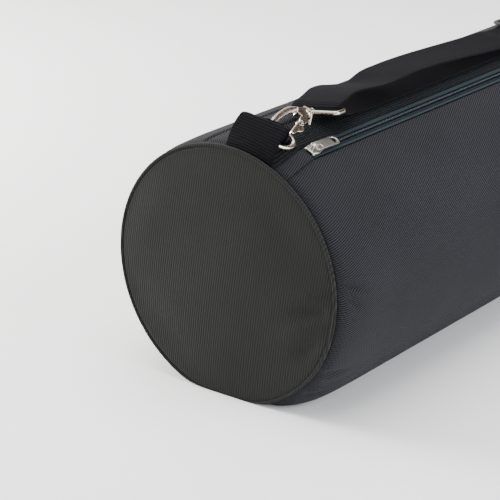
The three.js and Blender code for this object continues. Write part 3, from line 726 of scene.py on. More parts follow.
def looseCanvas(fromEdge, toEdge, end):
    rows, columns = slack["rows"], slack["columns"]
    xs = np.linspace(-end, end, rows)[:, None]
    theta = fromEdge(xs) + (toEdge - fromEdge(xs)) * np.linspace(0, 1, columns)[None, :]
    rest = drumPoints(xs, theta)
    out = drumPoints(xs, theta, 1.0) - rest
    out[..., 2] += 1e-6  # never without a direction
    out = unitRows(out)
    piece = meshPiece("looseCanvas", rest, gridFaces(rows, columns), closed=False)
    middle = piece.data.polygons[len(piece.data.polygons) // 2]
    if np.array(middle.normal) @ out.reshape(-1, 3)[middle.vertices[0]] < 0:
        piece.data.flip_normals()
    held = piece.vertex_groups.new(name="seams")
    index = np.arange(rows * columns).reshape(rows, columns)
    pressed = index[rest[..., 2] < slack["pressed"]]
    edge = np.concatenate([index[0], index[-1], index[:, 0], index[:, -1], pressed])
    held.add(list(range(rows * columns)), slack["bed"], "REPLACE")
    held.add([int(i) for i in np.unique(edge)], 1.0, "REPLACE")
    cloth = piece.modifiers.new("cloth", "CLOTH")
    for setting, value in {
            "quality": slack["quality"], "mass": slack["weight"], "vertex_group_mass": "seams",
            "tension_stiffness": slack["stretch"], "compression_stiffness": slack["stretch"],
            "shear_stiffness": slack["shear"], "bending_stiffness": slack["bend"],
            "air_damping": slack["air"], "shrink_min": -slack["larger"],
            "use_pressure": True, "uniform_pressure_force": slack["push"],
    }.items():
        setattr(cloth.settings, setting, value)
    cloth.collision_settings.use_collision = False
    cloth.point_cache.frame_start, cloth.point_cache.frame_end = 1, slack["frames"]
    scene = bpy.context.scene
    for step in range(1, slack["frames"] + 1):
        scene.frame_set(step)
    graph = bpy.context.evaluated_depsgraph_get()
    moved = vertexPlaces(piece.evaluated_get(graph).data)
    bpy.data.objects.remove(piece)
    scene.frame_set(1)
    away = np.sum((moved.reshape(rest.shape) / mm - rest) * out, -1)
    for axis in (0, 1):  # evens out the zigzag from point to point
        inner = away.swapaxes(0, axis)
        inner[1:-1] = (inner[:-2] + 2 * inner[1:-1] + inner[2:]) / 4
    print("canvas simulated, out %.2f to %.2f mm, spread %.2f" % (away.min(), away.max(), away.std()))
    free = smoothstep(np.abs(theta - 180), slack["flatTo"], slack["freeFrom"])
    return slack["cap"] * np.tanh(away / slack["cap"]) * free


# A strip of the drum's wall between two angles, its long edges and its ends turned in to their seams
def clothStrip(name, fromEdge, toEdge, xLow, xHigh, columns, top=0.0, wall=panel["wall"],
               turned=True, ends=True, loose=None):
    xs = stationsAlong(xLow, xHigh)[:, None]
    first = np.broadcast_to(fromEdge(xs) if callable(fromEdge) else fromEdge, xs.shape)
    last = np.broadcast_to(toEdge(xs) if callable(toEdge) else toEdge, xs.shape)
    share = np.linspace(0, 1, columns)[None, :]
    if columns > panel["evenUpTo"]:  # the columns of a wide panel lie closer together towards its edges
        share = share - panel["closerEdges"] * np.sin(2 * np.pi * share) / (2 * np.pi)
    theta = first + (last - first) * share
    arc = np.radians(theta) * fullRadius
    drop = np.zeros(theta.shape)
    for edge in (first, last) if turned else ():
        reach = np.abs(arc - np.radians(edge) * fullRadius)
        drop = np.maximum(drop, panel["edgeDrop"] * np.exp(-(reach / panel["edgeSoft"]) ** 2))
    if ends:
        reach = drum["bodyEnd"] - np.abs(xs)
        drop = np.maximum(drop, panel["seamDrop"] * np.exp(-(reach / panel["seamSoft"]) ** 2))
    if loose is not None:  # rows and columns of the coarse sheet carried over to the fine one
        rowShare = (xs[:, 0] - xLow) / (xHigh - xLow)
        loose = splineWeights(rowShare, loose.shape[0]) @ loose @ splineWeights(share[0], loose.shape[1]).T
    else:
        loose = 0.0
    outer = drumPoints(xs, theta, top - drop, loose)
    inner = drumPoints(xs, theta, top - drop - wall, loose)
    profile = drumPoints(xs[:, 0], 90.0)
    run = xLow + lengthAlong(profile)[:, None]
    uv = np.stack([np.broadcast_to(run, theta.shape), arc], -1)
    points = np.concatenate([outer.reshape(-1, 3), inner.reshape(-1, 3)])
    return meshPiece(name, points, wallFaces(*theta.shape), np.concatenate([uv.reshape(-1, 2)] * 2))


end = drum["bodyEnd"]
gap = drum["seamGap"]
bodyStart = movedEdge(bodyEdge, gap)
bodyStop = 360 + drum["farSeam"] - gap
bodyCanvas = clothStrip("bodyCanvas", bodyStart, bodyStop, -end, end, panel["bodyColumns"],
                        loose=looseCanvas(bodyStart, bodyStop, end))
finishPiece(bodyCanvas, "bodyCanvas", stands=["body_panel"])
topCanvas = clothStrip("topStripCanvas", drum["farSeam"] + gap, drum["meshFrom"] - gap, -end, end,
                       panel["topColumns"])
finishPiece(topCanvas, "bodyCanvas", stands=["top_strip"])
for side, label in ((-1, "Near"), (1, "Far")):
    low, high = sorted((side * end, side * (drum["zipEnd"] + panel["coverPast"])))
    cover = clothStrip("zipCover" + label, movedEdge(meshEdge, gap), movedEdge(bodyEdge, -gap), low, high,
                       panel["coverColumns"], panel["coverRise"], panel["coverWall"])
    finishPiece(cover, "bodyCanvas", stands=["zip_cover_" + label.lower()])
print("canvas panels made")


# Round ends: slightly domed canvas, a stitched rolled edge, flat where they rest
endPanel = {
    "dome": 4.2, "roll": 2.3, "stand": 0.5, "groove": 0.5, "grooveSoft": 0.6, "dentFade": 9,
    "rings": 70, "spokes": 288, "rollSteps": 12, "tipShare": 0.012,
    "stitchPitch": 3.4, "stitchSize": (1.3, 0.28, 0.28), "stitchIn": 0.2, "stitchSink": 0.25,
    "stitchPoints": 720,
}
seat = drum["rimRadius"] - endPanel["roll"]  # where the rolled edge begins
dentColumns = ("y", "z", "long", "wide", "turn", "height")  # from the middle of the panel
dents = [
    (-82, -9, 17, 5, -16, -1.9),
    (-80, 4, 18, 5, -10, 1.0),
    (-76, -39, 12, 5, -35, -1.8),
    (-68, -27, 20, 7, -28, 1.2),
    (-58, 45, 30, 12, 40, -0.8),
    (60, -50, 34, 14, 40, -1.0),
    (70, 30, 30, 14, -60, 0.7),
    (10, -70, 40, 10, 4, 0.8),
    (0, 62, 45, 13, -6, -0.7),
]


def endSurface(y, z):
    radius = np.hypot(y, z)
    out = endPanel["dome"] * np.clip(1 - (radius / seat) ** 2, 0, 1)
    for row in dents:
        dent = dict(zip(dentColumns, row))
        mark = softMark(y - dent["y"], z - dent["z"], dent["turn"], dent["long"], dent["wide"])
        out = out + dent["height"] * mark * smoothstep(seat - radius, 0, endPanel["dentFade"])
    return out - endPanel["groove"] * np.exp(-((radius - seat) / endPanel["grooveSoft"]) ** 2)


def endPoint(radius, angle, out):
    y, z = radius * np.sin(angle), radius * np.cos(angle)
    return np.stack([-(drum["rimX"] + out), drum["lean"] + y, restOn(drum["rimHeight"] + z, 0)], -1)


def endCanvas(name):
    spokes = endPanel["spokes"]
    angle = np.linspace(0, 2 * np.pi, spokes, endpoint=False)[None, :]
    share = np.linspace(endPanel["tipShare"], 1, endPanel["rings"])[:, None] ** 0.8
    radius = seat * share
    rows = [endPoint(radius, angle, endSurface(radius * np.sin(angle), radius * np.cos(angle)))]
    turn = np.linspace(-0.45 * np.pi, 0.5 * np.pi, endPanel["rollSteps"])[:, None]  # over the rolled edge
    half = endPanel["roll"] / 2
    # the roll's small unevenness, from stitch to stitch
    ripple = 0.1 * np.sin(angle * 31 + 2 * np.sin(angle * 5)) + 0.06 * np.sin(angle * 53)
    rollRadius = seat + half + half * np.sin(turn) + 0 * angle
    rollOut = endPanel["stand"] * np.cos(turn) * (1 + 0.15 * ripple) + ripple * 0.2
    rows.append(endPoint(rollRadius, angle, rollOut))
    backOut = np.array([-0.9, -2.0, -endPanel["roll"]])[:, None] + 0 * angle  # behind it, into the seam
    backRadius = drum["rimRadius"] + np.array([0.0, -0.1, -0.5])[:, None] + 0.25 * ripple
    rows.append(endPoint(backRadius, angle, backOut))
    innerRadius = np.array([seat + 1, seat - 4, seat * 0.6, seat * endPanel["tipShare"]])[:, None] + 0 * angle
    innerOut = np.array([-endPanel["roll"], -2.2, 0.2, endPanel["dome"] - 2])[:, None] + 0 * angle
    rows.append(endPoint(innerRadius, angle, innerOut))
    grid = np.concatenate(rows)
    points = np.vstack([grid.reshape(-1, 3), grid[0].mean(0), grid[-1].mean(0)])
    return meshPiece(name, points, tubeFaces(len(grid), spokes), points[:, 1:])


nearEnd = finishPiece(endCanvas("endCanvasNear"), "endCanvas", stands=["end_panel_near"])
finishPiece(mirroredPiece(nearEnd, "endCanvasFar"), "endCanvas", stands=["end_panel_far"])
rimAngle = np.linspace(0, 2 * np.pi, endPanel["stitchPoints"], endpoint=False)
rimLine = endPoint(seat - endPanel["stitchIn"], rimAngle, np.full(len(rimAngle), -endPanel["stitchSink"]))
nearStitches = grown("rimStitchesNear", stitchNodes, {
    "Pitch": endPanel["stitchPitch"] * mm, "Bar": [size * mm for size in endPanel["stitchSize"]],
    "Finish": materials["darkThread"]}, rimLine, True)
farStitches = mirroredPiece(nearStitches, "rimStitchesFar")
for stitches in (nearStitches, farStitches):
    finishPiece(stitches, "darkThread")
print("round ends made")


# Mesh strip: a pierced knit face over a plain back, its holes drawn coarser than the real ones
knit = {
    "pitch": 2.8, "hole": 0.68, "face": 0.8, "sink": 0.5, "margin": 0.4, "inset": 0.2,
    "backDepth": 2.0, "backWall": 0.8, "backColumns": 8,
}


def meshStrip():
    width = math.radians(drum["meshTo"] - drum["meshFrom"]) * fullRadius - 2 * knit["margin"]
    length = 2 * drum["bodyEnd"]
    columns = round(length / knit["pitch"]) + 1
    rows = round(width / (knit["pitch"] * math.sqrt(0.75))) + 1
    flat = grown("meshStripKnit", knitNodes, {
        "Length": length * mm, "Width": width * mm, "Pitch": knit["pitch"] * mm,
        "Rows": rows, "Columns": columns, "Hole": knit["hole"], "Finish": materials["mesh"]})
    places = vertexPlaces(flat.data) / mm
    x = np.clip(places[:, 0], -length / 2, length / 2)
    arc = np.clip(places[:, 1], -width / 2, width / 2)
    span = meshEdge(x) - drum["meshFrom"] - 2 * knit["inset"]
    theta = drum["meshFrom"] + knit["inset"] + span * (arc / width + 0.5)
    laid = drumPoints(x, theta, -knit["sink"]) * mm
    flat.data.vertices.foreach_set("co", laid.astype(np.float32).ravel())
    setClothMap(flat.data, np.column_stack([x, arc]))
    flat.data.update()
    wall = flat.modifiers.new("wall", "SOLIDIFY")
    wall.thickness = knit["face"] * mm
    wall.offset = -1 if flat.data.polygons[0].normal.z > 0 else 1
    made = evaluatedMesh(flat, flat.name)
    flat.modifiers.clear()
    flat.data = made
    smoothShade(made)
    return flat


meshFace = finishPiece(meshStrip(), "mesh", stands=["mesh_panel"])
meshBack = clothStrip("meshStripBack", drum["meshFrom"] + gap, movedEdge(meshEdge, -gap), -end, end,
                      knit["backColumns"], -knit["backDepth"], knit["backWall"], turned=False)
finishPiece(meshBack, "mesh")
print("mesh strip made,", len(meshFace.data.polygons), "faces")


# Zip: two tapes, a coil of interlocked loops, slider and pull. The coil's pitch is coarser than the real one.
zipper = {
    "tapeSink": 0.4, "tapeWall": 0.9, "tapeColumns": 8, "linePoints": 300, "coilGap": 0.4, "coilStop": 1,
    "toothPitch": 1.9, "toothSize": (0.5, 1.5, 0.4), "toothRise": 0.75, "rowOffset": 1.25,
    "headSize": (0.5, 0.36, 0.3), "headRise": 1.1, "headOffset": 0.45,
    "stitchPitch": 1.9, "stitchSize": (0.8, 0.28, 0.28), "stitchSink": 0.25, "stitchOffset": 3.1,
    "stitchStop": 2,
    "sliderX": -294.5, "sliderLength": 14.0, "sliderRise": 1.9, "cheekSide": 3.6, "cheekDrop": 0.9,
    "hingeX": -295.8, "hingeRise": 4.2,
    "pullLength": 29.0, "pullWidth": 8.6, "pullThick": 1.5, "pullDroop": 2.6, "eyeBar": 0.7,
}
tapeShape = (-drum["zipEnd"], drum["zipEnd"], zipper["tapeColumns"], -zipper["tapeSink"], zipper["tapeWall"])
upperTape = clothStrip("zipTapeUpper", movedEdge(meshEdge, gap), drum["zipAngle"] - gap, *tapeShape,
                       turned=False, ends=False)
lowerTape = clothStrip("zipTapeLower", drum["zipAngle"] + gap, movedEdge(bodyEdge, -gap), *tapeShape,
                       turned=False, ends=False)
finishPiece(upperTape, "tape", stands=["zip_tape_upper"])
finishPiece(lowerTape, "tape", stands=["zip_tape_lower"])
degreesPerMm = math.degrees(1 / fullRadius)


# Two rows of bars beside the zip's line, the second half a pitch behind the first
def coilRows(name, offset, rise, size, finish):
    first = zipper["sliderX"] + zipper["sliderLength"] / 2 + zipper["coilGap"]
    rows = []
    for side in (-1, 1):
        shift = zipper["toothPitch"] / 2 if side > 0 else 0.0
        xs = np.linspace(first + shift, drum["zipEnd"] - zipper["coilStop"] + shift, zipper["linePoints"])
        line = drumPoints(xs, drum["zipAngle"] + side * offset * degreesPerMm, rise)
        rows.append(grown("zipRow", toothNodes, {
            "Pitch": zipper["toothPitch"] * mm, "Bar": [length * mm for length in size],
            "Turn": (math.radians(drum["zipAngle"]), 0.0, 0.0), "Finish": materials[finish]}, line))
    return joined(name, rows, sharpAngle=180)


coil = coilRows("zipCoil", zipper["rowOffset"], zipper["toothRise"], zipper["toothSize"], "coil")
finishPiece(coil, "coil", stands=["zip_teeth"])
# The heads are finished in the paler colour, a painted highlight for the coil's glints
heads = coilRows("zipCoilHeadsPaintedHighlight", zipper["headOffset"], zipper["headRise"], zipper["headSize"], "coilHeadsPaintedHighlight")
finishPiece(heads, "coilHeadsPaintedHighlight")
seamX = drum["zipEnd"] - zipper["stitchStop"]
for side, label in ((-1, "Upper"), (1, "Lower")):
    theta = drum["zipAngle"] + side * zipper["stitchOffset"] * degreesPerMm
    line = drumPoints(np.linspace(-seamX, seamX, zipper["linePoints"]), theta, -zipper["stitchSink"])
    seam = grown("coilStitches" + label, stitchNodes, {
        "Pitch": zipper["stitchPitch"] * mm, "Bar": [size * mm for size in zipper["stitchSize"]],
        "Finish": materials["darkThread"]}, line)
    finishPiece(seam, "darkThread")


def zipAxes():
    angle = math.radians(drum["zipAngle"])
    across = np.array([0, math.cos(angle), math.sin(angle)])
    out = np.array([0, -math.sin(angle), math.cos(angle)])
    return [np.array([1.0, 0, 0]), across, out]


def zipMatrix(x, rise):
    return placeMatrix(zipAxes(), drumPoints(x, drum["zipAngle"], rise))


def zipSlider():
    half = zipper["sliderLength"] / 2
    outline = bothSides([(-half, -4.2), (-half * 0.2, -5.25), (half * 0.85, -3.7), (half, -2.6)])
    top = platePiece("top", rounded(outline, radius=1.6), [], thick=1.6, edge=0.5)
    outside = [(-5, 0), (-4.6, 3.6), (-3.2, 5.2), (2, 5.2), (3.8, 3.6), (4.4, 0)]
    inside = [(-3.8, 0), (-3.4, 2.9), (-2.6, 3.8), (1.4, 3.8), (2.8, 2.9), (3.2, 0)]
    arch = rounded(outside + inside[::-1], radius=0.9, steps=4)
    crown = platePiece("crown", arch, [], thick=2.2, edge=0.4)
    crown.data.transform(Matrix.Rotation(math.pi / 2, 4, "X"))
    cheekOutline = rounded(bothSides([(-half, -1), (-half * 0.1, -1)]), radius=0.8)
    cheeks = []
    for v in (-1, 1):
        cheek = platePiece("cheek", cheekOutline, [], thick=2.0, edge=0.5)
        cheek.data.transform(Matrix.Translation((0, v * zipper["cheekSide"] * mm, -zipper["cheekDrop"] * mm)))
        cheeks.append(cheek)
    return joined("zipSliderBody", [top, crown, *cheeks], zipMatrix(zipper["sliderX"], zipper["sliderRise"]))


def zipPull():
    half, bar = zipper["pullWidth"] / 2, zipper["eyeBar"]
    tip = zipper["pullLength"] - bar
    outline = bothSides([(-bar, -half), (tip - 2, -half), (tip, -half * 0.45)])
    eye = [(bar, -2.5), (bar, 2.5), (6.5, 2.5), (6.5, -2.5)]
    slot = [(tip - 7.2, -3.3), (tip - 6.8, 0), (tip - 7.2, 3.3),
            (tip - 3.0, 2.9), (tip - 1.5, 0), (tip - 3.0, -2.9)]
    holes = [rounded(eye, radius=0.9), rounded(slot, radius=1.0)]
    pull = platePiece("pull", rounded(outline, radius=1.8), holes, zipper["pullThick"], edge=0.35)
    droop = Matrix.Rotation(math.radians(zipper["pullDroop"]), 4, "Y")
    return joined("zipPullTab", [pull], zipMatrix(zipper["hingeX"], zipper["hingeRise"]) @ droop)


finishPiece(zipSlider(), "zipNickel", stands=["zip_slider"])
finishPiece(zipPull(), "zipNickel", "pull", ["zip_pull"])
print("zip made,", len(coil.data.polygons), "coil faces")


# Webbing: a flat band with rounded selvedges, swept through rows of places
web = {
    "width": 40.0, "thick": 1.5, "edgeSteps": 4, "strapAcross": 14, "tabAcross": 44, "tabPleats": 3,
    "strapY": -11.2, "strapBend": 215, "loopX": 258.35, "loopY": -21.57, "loopZ": 207.26, "loopSkew": 6.9,
}


def bandPiece(name, centre, across, width, pleat, columns, waves=0, bow=None):
    along = unitRows(np.gradient(centre, axis=0))
    across = unitRows(across)
    face = unitRows(np.cross(across, along))
    length = lengthAlong(centre)
    half = web["thick"] / 2
    t = np.linspace(-1, 1, columns)
    bend = np.linspace(-np.pi / 2, np.pi / 2, web["edgeSteps"] + 2)[1:-1]
    side = np.concatenate([t, 1 + 0 * bend, t[::-1], -1 + 0 * bend])
    up = np.concatenate([
        np.full(columns, half), half * np.sin(bend)[::-1], np.full(columns, -half), half * np.sin(bend)])
    outward = np.concatenate([
        np.zeros(columns), half * np.cos(bend), np.zeros(columns), -half * np.cos(bend)])
    flatHalf = (width / 2 - half)[:, None]
    wave = pleat[:, None] * np.cos(waves * np.pi * (side + 1))[None, :]
    shiftAcross = flatHalf * side[None, :] + outward[None, :]
    shiftUp = up[None, :] + wave
    points = centre[:, None] + shiftAcross[..., None] * across[:, None] + shiftUp[..., None] * face[:, None]
    if bow is not None:
        points[..., 2] -= bow[:, None] * side[None, :] ** 2
    flat = side[None, :] * web["width"] / 2 + 0 * length[:, None]
    uv = np.stack([np.broadcast_to(length[:, None], flat.shape), flat], -1)
    points = np.vstack([points.reshape(-1, 3), centre[:1], centre[-1:]])
    uv = np.vstack([uv.reshape(-1, 2), [0, 0], [length[-1], 0]])
    return meshPiece(name, points, tubeFaces(len(centre), len(side)), uv), length[-1]


# The way across a band that is rolled and skewed by some degrees
def acrossAt(roll, skew=0.0):
    roll, skew = np.radians(roll), np.radians(skew)
    return np.stack([np.cos(roll) * np.sin(skew), -np.cos(roll) * np.cos(skew), -np.sin(roll) + 0 * skew], -1)


# The strap from its sewn end: place along the bag, height above the cloth and roll in degrees
strapRows = [
    (24, 1.1, 6), (48, 1.1, 6), (54, 2.3, 5), (57, 4, 4), (60, 5.1, 4), (63, 5.9, 4), (63.9, 8, 4),
    (62.9, 10.1, 4), (60, 10.8, 4), (57.2, 10.1, 4), (56.2, 8, 4), (54.6, 5.4, 4), (51.5, 3.4, 5),
    (48, 3.05, 6), (24, 3.1, 6), (12, 1.3, 6), (-40, 1.2, 6), (-100, 1.2, 6), (-160, 1.2, 6), (-205, 1.3, 6),
    (-225, 2.6, 4), (-240, 5, 0), (-250, 6.9, -4), (-256, 7.7, -6), (-260.2, 7.7, -6), (-262.4, 9.9, -6),
    (-262.4, 13.3, -6), (-259.4, 15.6, -6), (-251, 17, -6), (-242, 17.3, -6), (-232, 16.5, -5),
    (-215, 14.2, -5), (-200, 12, -7), (-182, 10, -8), (-160, 12.4, -2), (-140, 13.2, -2), (-112, 12.8, -1),
    (-70, 10.6, 1), (-30, 8, 3), (10, 6, 4), (48, 4.95, 4), (50.5, 5.6, 4), (52.6, 7.4, 4), (53.9, 9.8, 4),
    (56, 12.2, 4), (60, 13, 4), (64, 12.2, 4), (66, 9.8, 4), (67, 7.4, 4), (69.3, 5.7, 4), (72, 4.95, 4),
    (86, 2.6, 5), (104, 1.2, 6), (160, 1.2, 6), (205, 1.3, 6), (225, 2.6, 4), (240, 5, 0), (250, 6.9, -4),
    (256, 7.7, -6), (259.9, 7.8, -6), (262.2, 10, -6), (261.9, 13.4, -6), (258.2, 15.2, -6),
    (254.2, 13.9, -5), (248, 10, -3), (240, 7, 0), (225, 4.5, 4), (208, 3.3, 6),
]


def strapPlace(x, lift):
    near = smoothstep(np.abs(x), web["strapBend"], web["loopX"])
    y = web["strapY"] + (web["loopY"] - web["strapY"]) * near
    return np.stack([x, y, topHeight(x, y) + lift], -1)


def strapBand():
    table = np.array(strapRows, float)
    x = table[:, 0]
    skew = -np.sign(x) * web["loopSkew"] * smoothstep(np.abs(x), web["strapBend"], web["loopX"])
    places = np.column_stack([strapPlace(x, table[:, 1]), acrossAt(table[:, 2], skew)])
    dense = throughRows(places, spacing=3.0)
    count = len(dense)
    return bandPiece("strapWebbing", dense[:, :3], dense[:, 3:], np.full(count, web["width"]),
                     np.zeros(count), web["strapAcross"])


strap, strapLength = strapBand()
finishPiece(strap, "webbing", stands=["strap"])
print("strap webbing, length %.0f mm" % strapLength)

# A tab from the end seam over its fold and down through the hook
tabColumns = ("x", "y", "z", "width", "tilt", "pleat", "bow")
tabRows = [
    (-336.4, -17.2, 190.4, 42, 11.5, 0, 2.6),
    (-335.4, -17.6, 194.6, 42, 11.3, 0, 2.3),
    (-333.2, -18.4, 200, 42, 10.8, 0, 1.3),
    (-330.6, -20.2, 206.2, 42, 9.8, 0, 0.5),
    (-327.8, -22.4, 211.6, 42, 8.8, 0, 0.1),
    (-325.4, -23.8, 214.2, 42, 8.2, 0, 0),
    (-322.6, -24.6, 213.7, 39, 8, 0.2, 0),
    (-319.8, -26, 211.5, 27, 8, 0.8, 0),
    (-317, -29.2, 210.2, 16, 8, 1.4, 0),
    (-314.9, -30.6, 207.4, 11.5, 14, 1.8, 0),
    (-313.6, -29.2, 203.2, 10.5, 34, 2, 0),
    (-312.4, -24.8, 199.2, 13, 30, 1.7, 0),
    (-310, -19.6, 197.6, 22, 14, 0.8, 0),
    (-302, -17.7, 197.2, 27, 9.5, 0.1, 0),
]


def tabBand(name):
    table = np.array(tabRows, float)
    column = {key: table[:, i] for i, key in enumerate(tabColumns)}
    rest = [column[key] for key in ("width", "pleat", "bow")]
    places = np.column_stack([table[:, :3], acrossAt(column["tilt"]), *rest])
    dense = throughRows(places, spacing=1.0, least=8)
    return bandPiece(name, dense[:, :3], dense[:, 3:6], dense[:, 6], dense[:, 7], web["tabAcross"],
                     web["tabPleats"], dense[:, 8])


nearTab, tabLength = tabBand("tabWebbingNear")
finishPiece(nearTab, "webbing", stands=["strap_tab_near"])
finishPiece(mirroredPiece(nearTab, "tabWebbingFar"), "webbing", stands=["strap_tab_far"])
print("tabs made, length %.0f mm" % tabLength)


# Snap hook, u from its base to its nose, v across it and w out of its flat side, in millimetres
hook = {
    "base": (-278.2, -23.5, 207.3), "axis": (-0.994, -0.07, -0.08), "tilt": 45,
    "gateThick": 2.8, "earThick": 1.0, "earClear": 0.35, "pivot": (9, -3.4), "pivotHole": 1.25,
    "bossPlace": -8, "loopDepth": 12, "loopWire": 3.4, "loopHalf": 22.5, "loopCorner": 3.0, "loopStep": 1.5,
    "loopRoll": -6,
}
hookRows = [  # u, v, half width in the hook's plane, half width out of it
    (-1, 3.2, 2.6, 2.0), (3, 6.6, 2.6, 2.0), (9, 8.7, 2.55, 1.9), (17, 9.6, 2.45, 1.8), (25, 9.1, 2.35, 1.75),
    (34, 7.4, 2.2, 1.7), (42, 3.6, 2.05, 1.7), (46.4, -2.4, 1.9, 1.65), (45.8, -8.4, 1.8, 1.6),
    (41, -12.9, 1.7, 1.6), (34.6, -14.8, 1.65, 1.55), (29.6, -13.4, 1.6, 1.5), (27.8, -9.6, 1.5, 1.45),
    (28, -6.6, 1.2, 1.2),
]
yokeRows = [  # the swivel's two arms beside the hook's base, in the same columns
    (-6.4, 5.8, 0.7, 1.0), (-7.6, 3.4, 0.95, 1.5), (-8.4, 0.8, 1.3, 1.9), (-6.6, -2.4, 1.1, 1.7),
    (-2, -5.6, 0.9, 1.4), (2.6, -8.4, 0.7, 1.0),
]


def hookAxes():
    u = unitRows(np.array(hook["axis"]))
    tilt = math.radians(hook["tilt"])
    level = unitRows(-np.cross([0, 0, 1.0], u))
    v = level * math.sin(tilt) + np.array([0, 0, math.cos(tilt)])
    v = unitRows(v - u * (v @ u))
    return [u, v, np.cross(u, v)]


hookMatrix = placeMatrix(hookAxes(), hook["base"])


# A cast arm through rows that lie in the hook's plane
def hookArm(name, rows, least, sides, square=2.0):
    dense = throughRows(np.insert(np.array(rows, float), 2, 0, axis=1), spacing=1.0, least=least)
    return tubePiece(name, dense[:, :3], (0, 0, 1.0), dense[:, 4], dense[:, 3], sides, square=square)


def hookBody(name):
    ring = hookArm("ring", hookRows, least=6, sides=32, square=2.1)
    earGap = hook["gateThick"] / 2 + hook["earClear"]
    thick = 2 * (earGap + hook["earThick"])
    outline = [(-4.6, 4.2), (3.8, -6.0), (6, -5.4), (5.3, -1), (6.8, 4.7), (3, 7.6)]
    block = platePiece("block", rounded(outline, radius=1.0), [], thick, edge=0.6)
    earOutline = [(3, -5.6), (8, -6.2), (11, -5.2), (11.4, -2.4), (9.6, -0.6), (3, 0.4)]
    ears = []
    for side in (-1, 1):
        ear = platePiece("ear", rounded(earOutline, radius=1.6), [], hook["earThick"], edge=0.25)
        ear.data.transform(Matrix.Translation((0, 0, side * (earGap + hook["earThick"] / 2) * mm)))
        ears.append(ear)
    reach = thick / 2
    pin = turnedPiece("pin", bothSides([(0.7, -reach - 0.25), (0.95, -reach)]), sides=16)
    atPivot = Matrix.Translation((hook["pivot"][0] * mm, hook["pivot"][1] * mm, 0))
    pin.data.transform(atPivot @ Matrix.Rotation(math.pi / 2, 4, "Y"))
    collar = turnedPiece("collar", [(2.0, -5.4), (2.8, -5), (3.6, -4.2), (3.6, -2.6), (3.2, -1.6)])
    post = turnedPiece("post", [(1.3, -10.6), (1.3, -4)], sides=20)
    head = turnedPiece("head", [(1.4, -11.6), (2.0, -11.4), (2.3, -11.0), (2.2, -10.5)], sides=24)
    return joined(name, [ring, block, *ears, pin, collar, post, head], hookMatrix)


def hookGate(name):
    outline = [
        (9.6, -1.1), (16, -2.9), (24.4, -4.9), (25.3, -5.8), (25.2, -7.2), (24, -8), (19.5, -7.8),
        (16.6, -9.4), (13.4, -10), (11.2, -9), (10.4, -6), (8.2, -5.7), (6.9, -4.6), (6.7, -2.9), (7.7, -1.4)]
    turn = np.linspace(0, 2 * np.pi, 16, endpoint=False)
    hole = np.array(hook["pivot"]) + hook["pivotHole"] * np.column_stack([np.cos(turn), np.sin(turn)])
    gate = platePiece("gate", rounded(outline, radius=1.6), [hole], hook["gateThick"], edge=0.5)
    return joined(name, [gate], hookMatrix)


def strapLoop(name):
    half, depth = hook["loopHalf"], hook["loopDepth"]
    outline = rounded(bothSides([(0, -half), (depth, -half)]), hook["loopCorner"], steps=8)
    dense = []
    for i, point in enumerate(outline):
        after = outline[(i + 1) % len(outline)]
        steps = max(1, round(np.linalg.norm(after - point) / hook["loopStep"]))
        dense += [point + (after - point) * k / steps for k in range(steps)]
    path = np.column_stack([np.array(dense), np.zeros(len(dense))])
    wire = hook["loopWire"] / 2
    ring = tubePiece("ring", path, (0, 0, 1.0), wire, wire * 0.95, sides=18, wrap=True)
    boss = turnedPiece("boss", bothSides([(1.7, -2.3), (2.3, -2.2), (2.6, -1.5)]), sides=28)
    middle = np.array(hook["base"]) + hookAxes()[0] * hook["bossPlace"]
    bar = acrossAt(np.array(hook["loopRoll"]), np.array(web["loopSkew"]))
    out = np.array([-web["loopX"], web["loopY"], web["loopZ"]]) - middle
    out = unitRows(out - bar * (out @ bar))
    loop = joined("loop", [ring, boss], placeMatrix([out, bar, np.cross(out, bar)], middle))
    yoke = joined("yoke", [hookArm("arms", yokeRows, least=5, sides=20)], hookMatrix)
    return joined(name, [loop, yoke])


for make, label, node, body in (
        (hookBody, "hook", "hook_body", "bag"),
        (hookGate, "gate", "hook_gate", "gate"),
        (strapLoop, "strapLoop", "hook_loop", "bag")):
    near = make(label + "Near")
    far = mirroredPiece(near, label + "Far")
    for piece, endName in ((near, "near"), (far, "far")):
        rides = body if body == "bag" else body + "_" + endName
        finishPiece(piece, "hookNickel", rides, [node + "_" + endName])
print("hooks made")


# Plain strap slider
glide = {"x": 60, "rise": 8, "roll": 4, "bar": 3, "slot": 9, "thick": 2.5, "reach": 20.8}


def strapGlide():
    half = glide["bar"] * 1.5 + glide["slot"]
    reach = glide["reach"]
    wide = reach + glide["bar"]
    outline = rounded(bothSides([(-half, -wide), (half, -wide)]), radius=2.5, steps=6)
    slots = []
    for low in (-glide["bar"] / 2 - glide["slot"], glide["bar"] / 2):
        high = low + glide["slot"]
        slots.append(rounded([(low, -reach), (low, reach), (high, reach), (high, -reach)], radius=1.2))
    ladder = platePiece("ladder", outline, slots, glide["thick"], edge=0.6)
    across = -acrossAt(np.array(float(glide["roll"])), np.array(0.0))
    along = np.array([1.0, 0, 0])
    place = strapPlace(np.array(float(glide["x"])), glide["rise"])
    return joined("strapGlide", [ladder], placeMatrix([along, across, np.cross(along, across)], place))


finishPiece(strapGlide(), "acetal", stands=["strap_slider"])
print("strap slider made")


# Floor, light and camera
stage = {
    "floor": 8.0, "floorZ": -0.0003, "aim": (-0.15, 0, 0.1), "sky": 1.2,
    "pale": "#f4f5f6", "horizon": "#d9d6d2", "warm": "#45321f",
    "warmTowards": (0.72, -0.55, 0.42), "warmSpread": (0.35, 0.9),
}
lights = (  # name, place, size, power, colour
    ("softboxLeft", (-0.5, 1.55, 0.5), 0.8, 96, "#fffcf7"),
    ("softboxTop", (-0.1, 0.2, 2.2), 2.4, 62, "#ffffff"),
    ("softboxRight", (0.2, -2.2, 0.75), 2.0, 98, "#f6f9ff"),
)


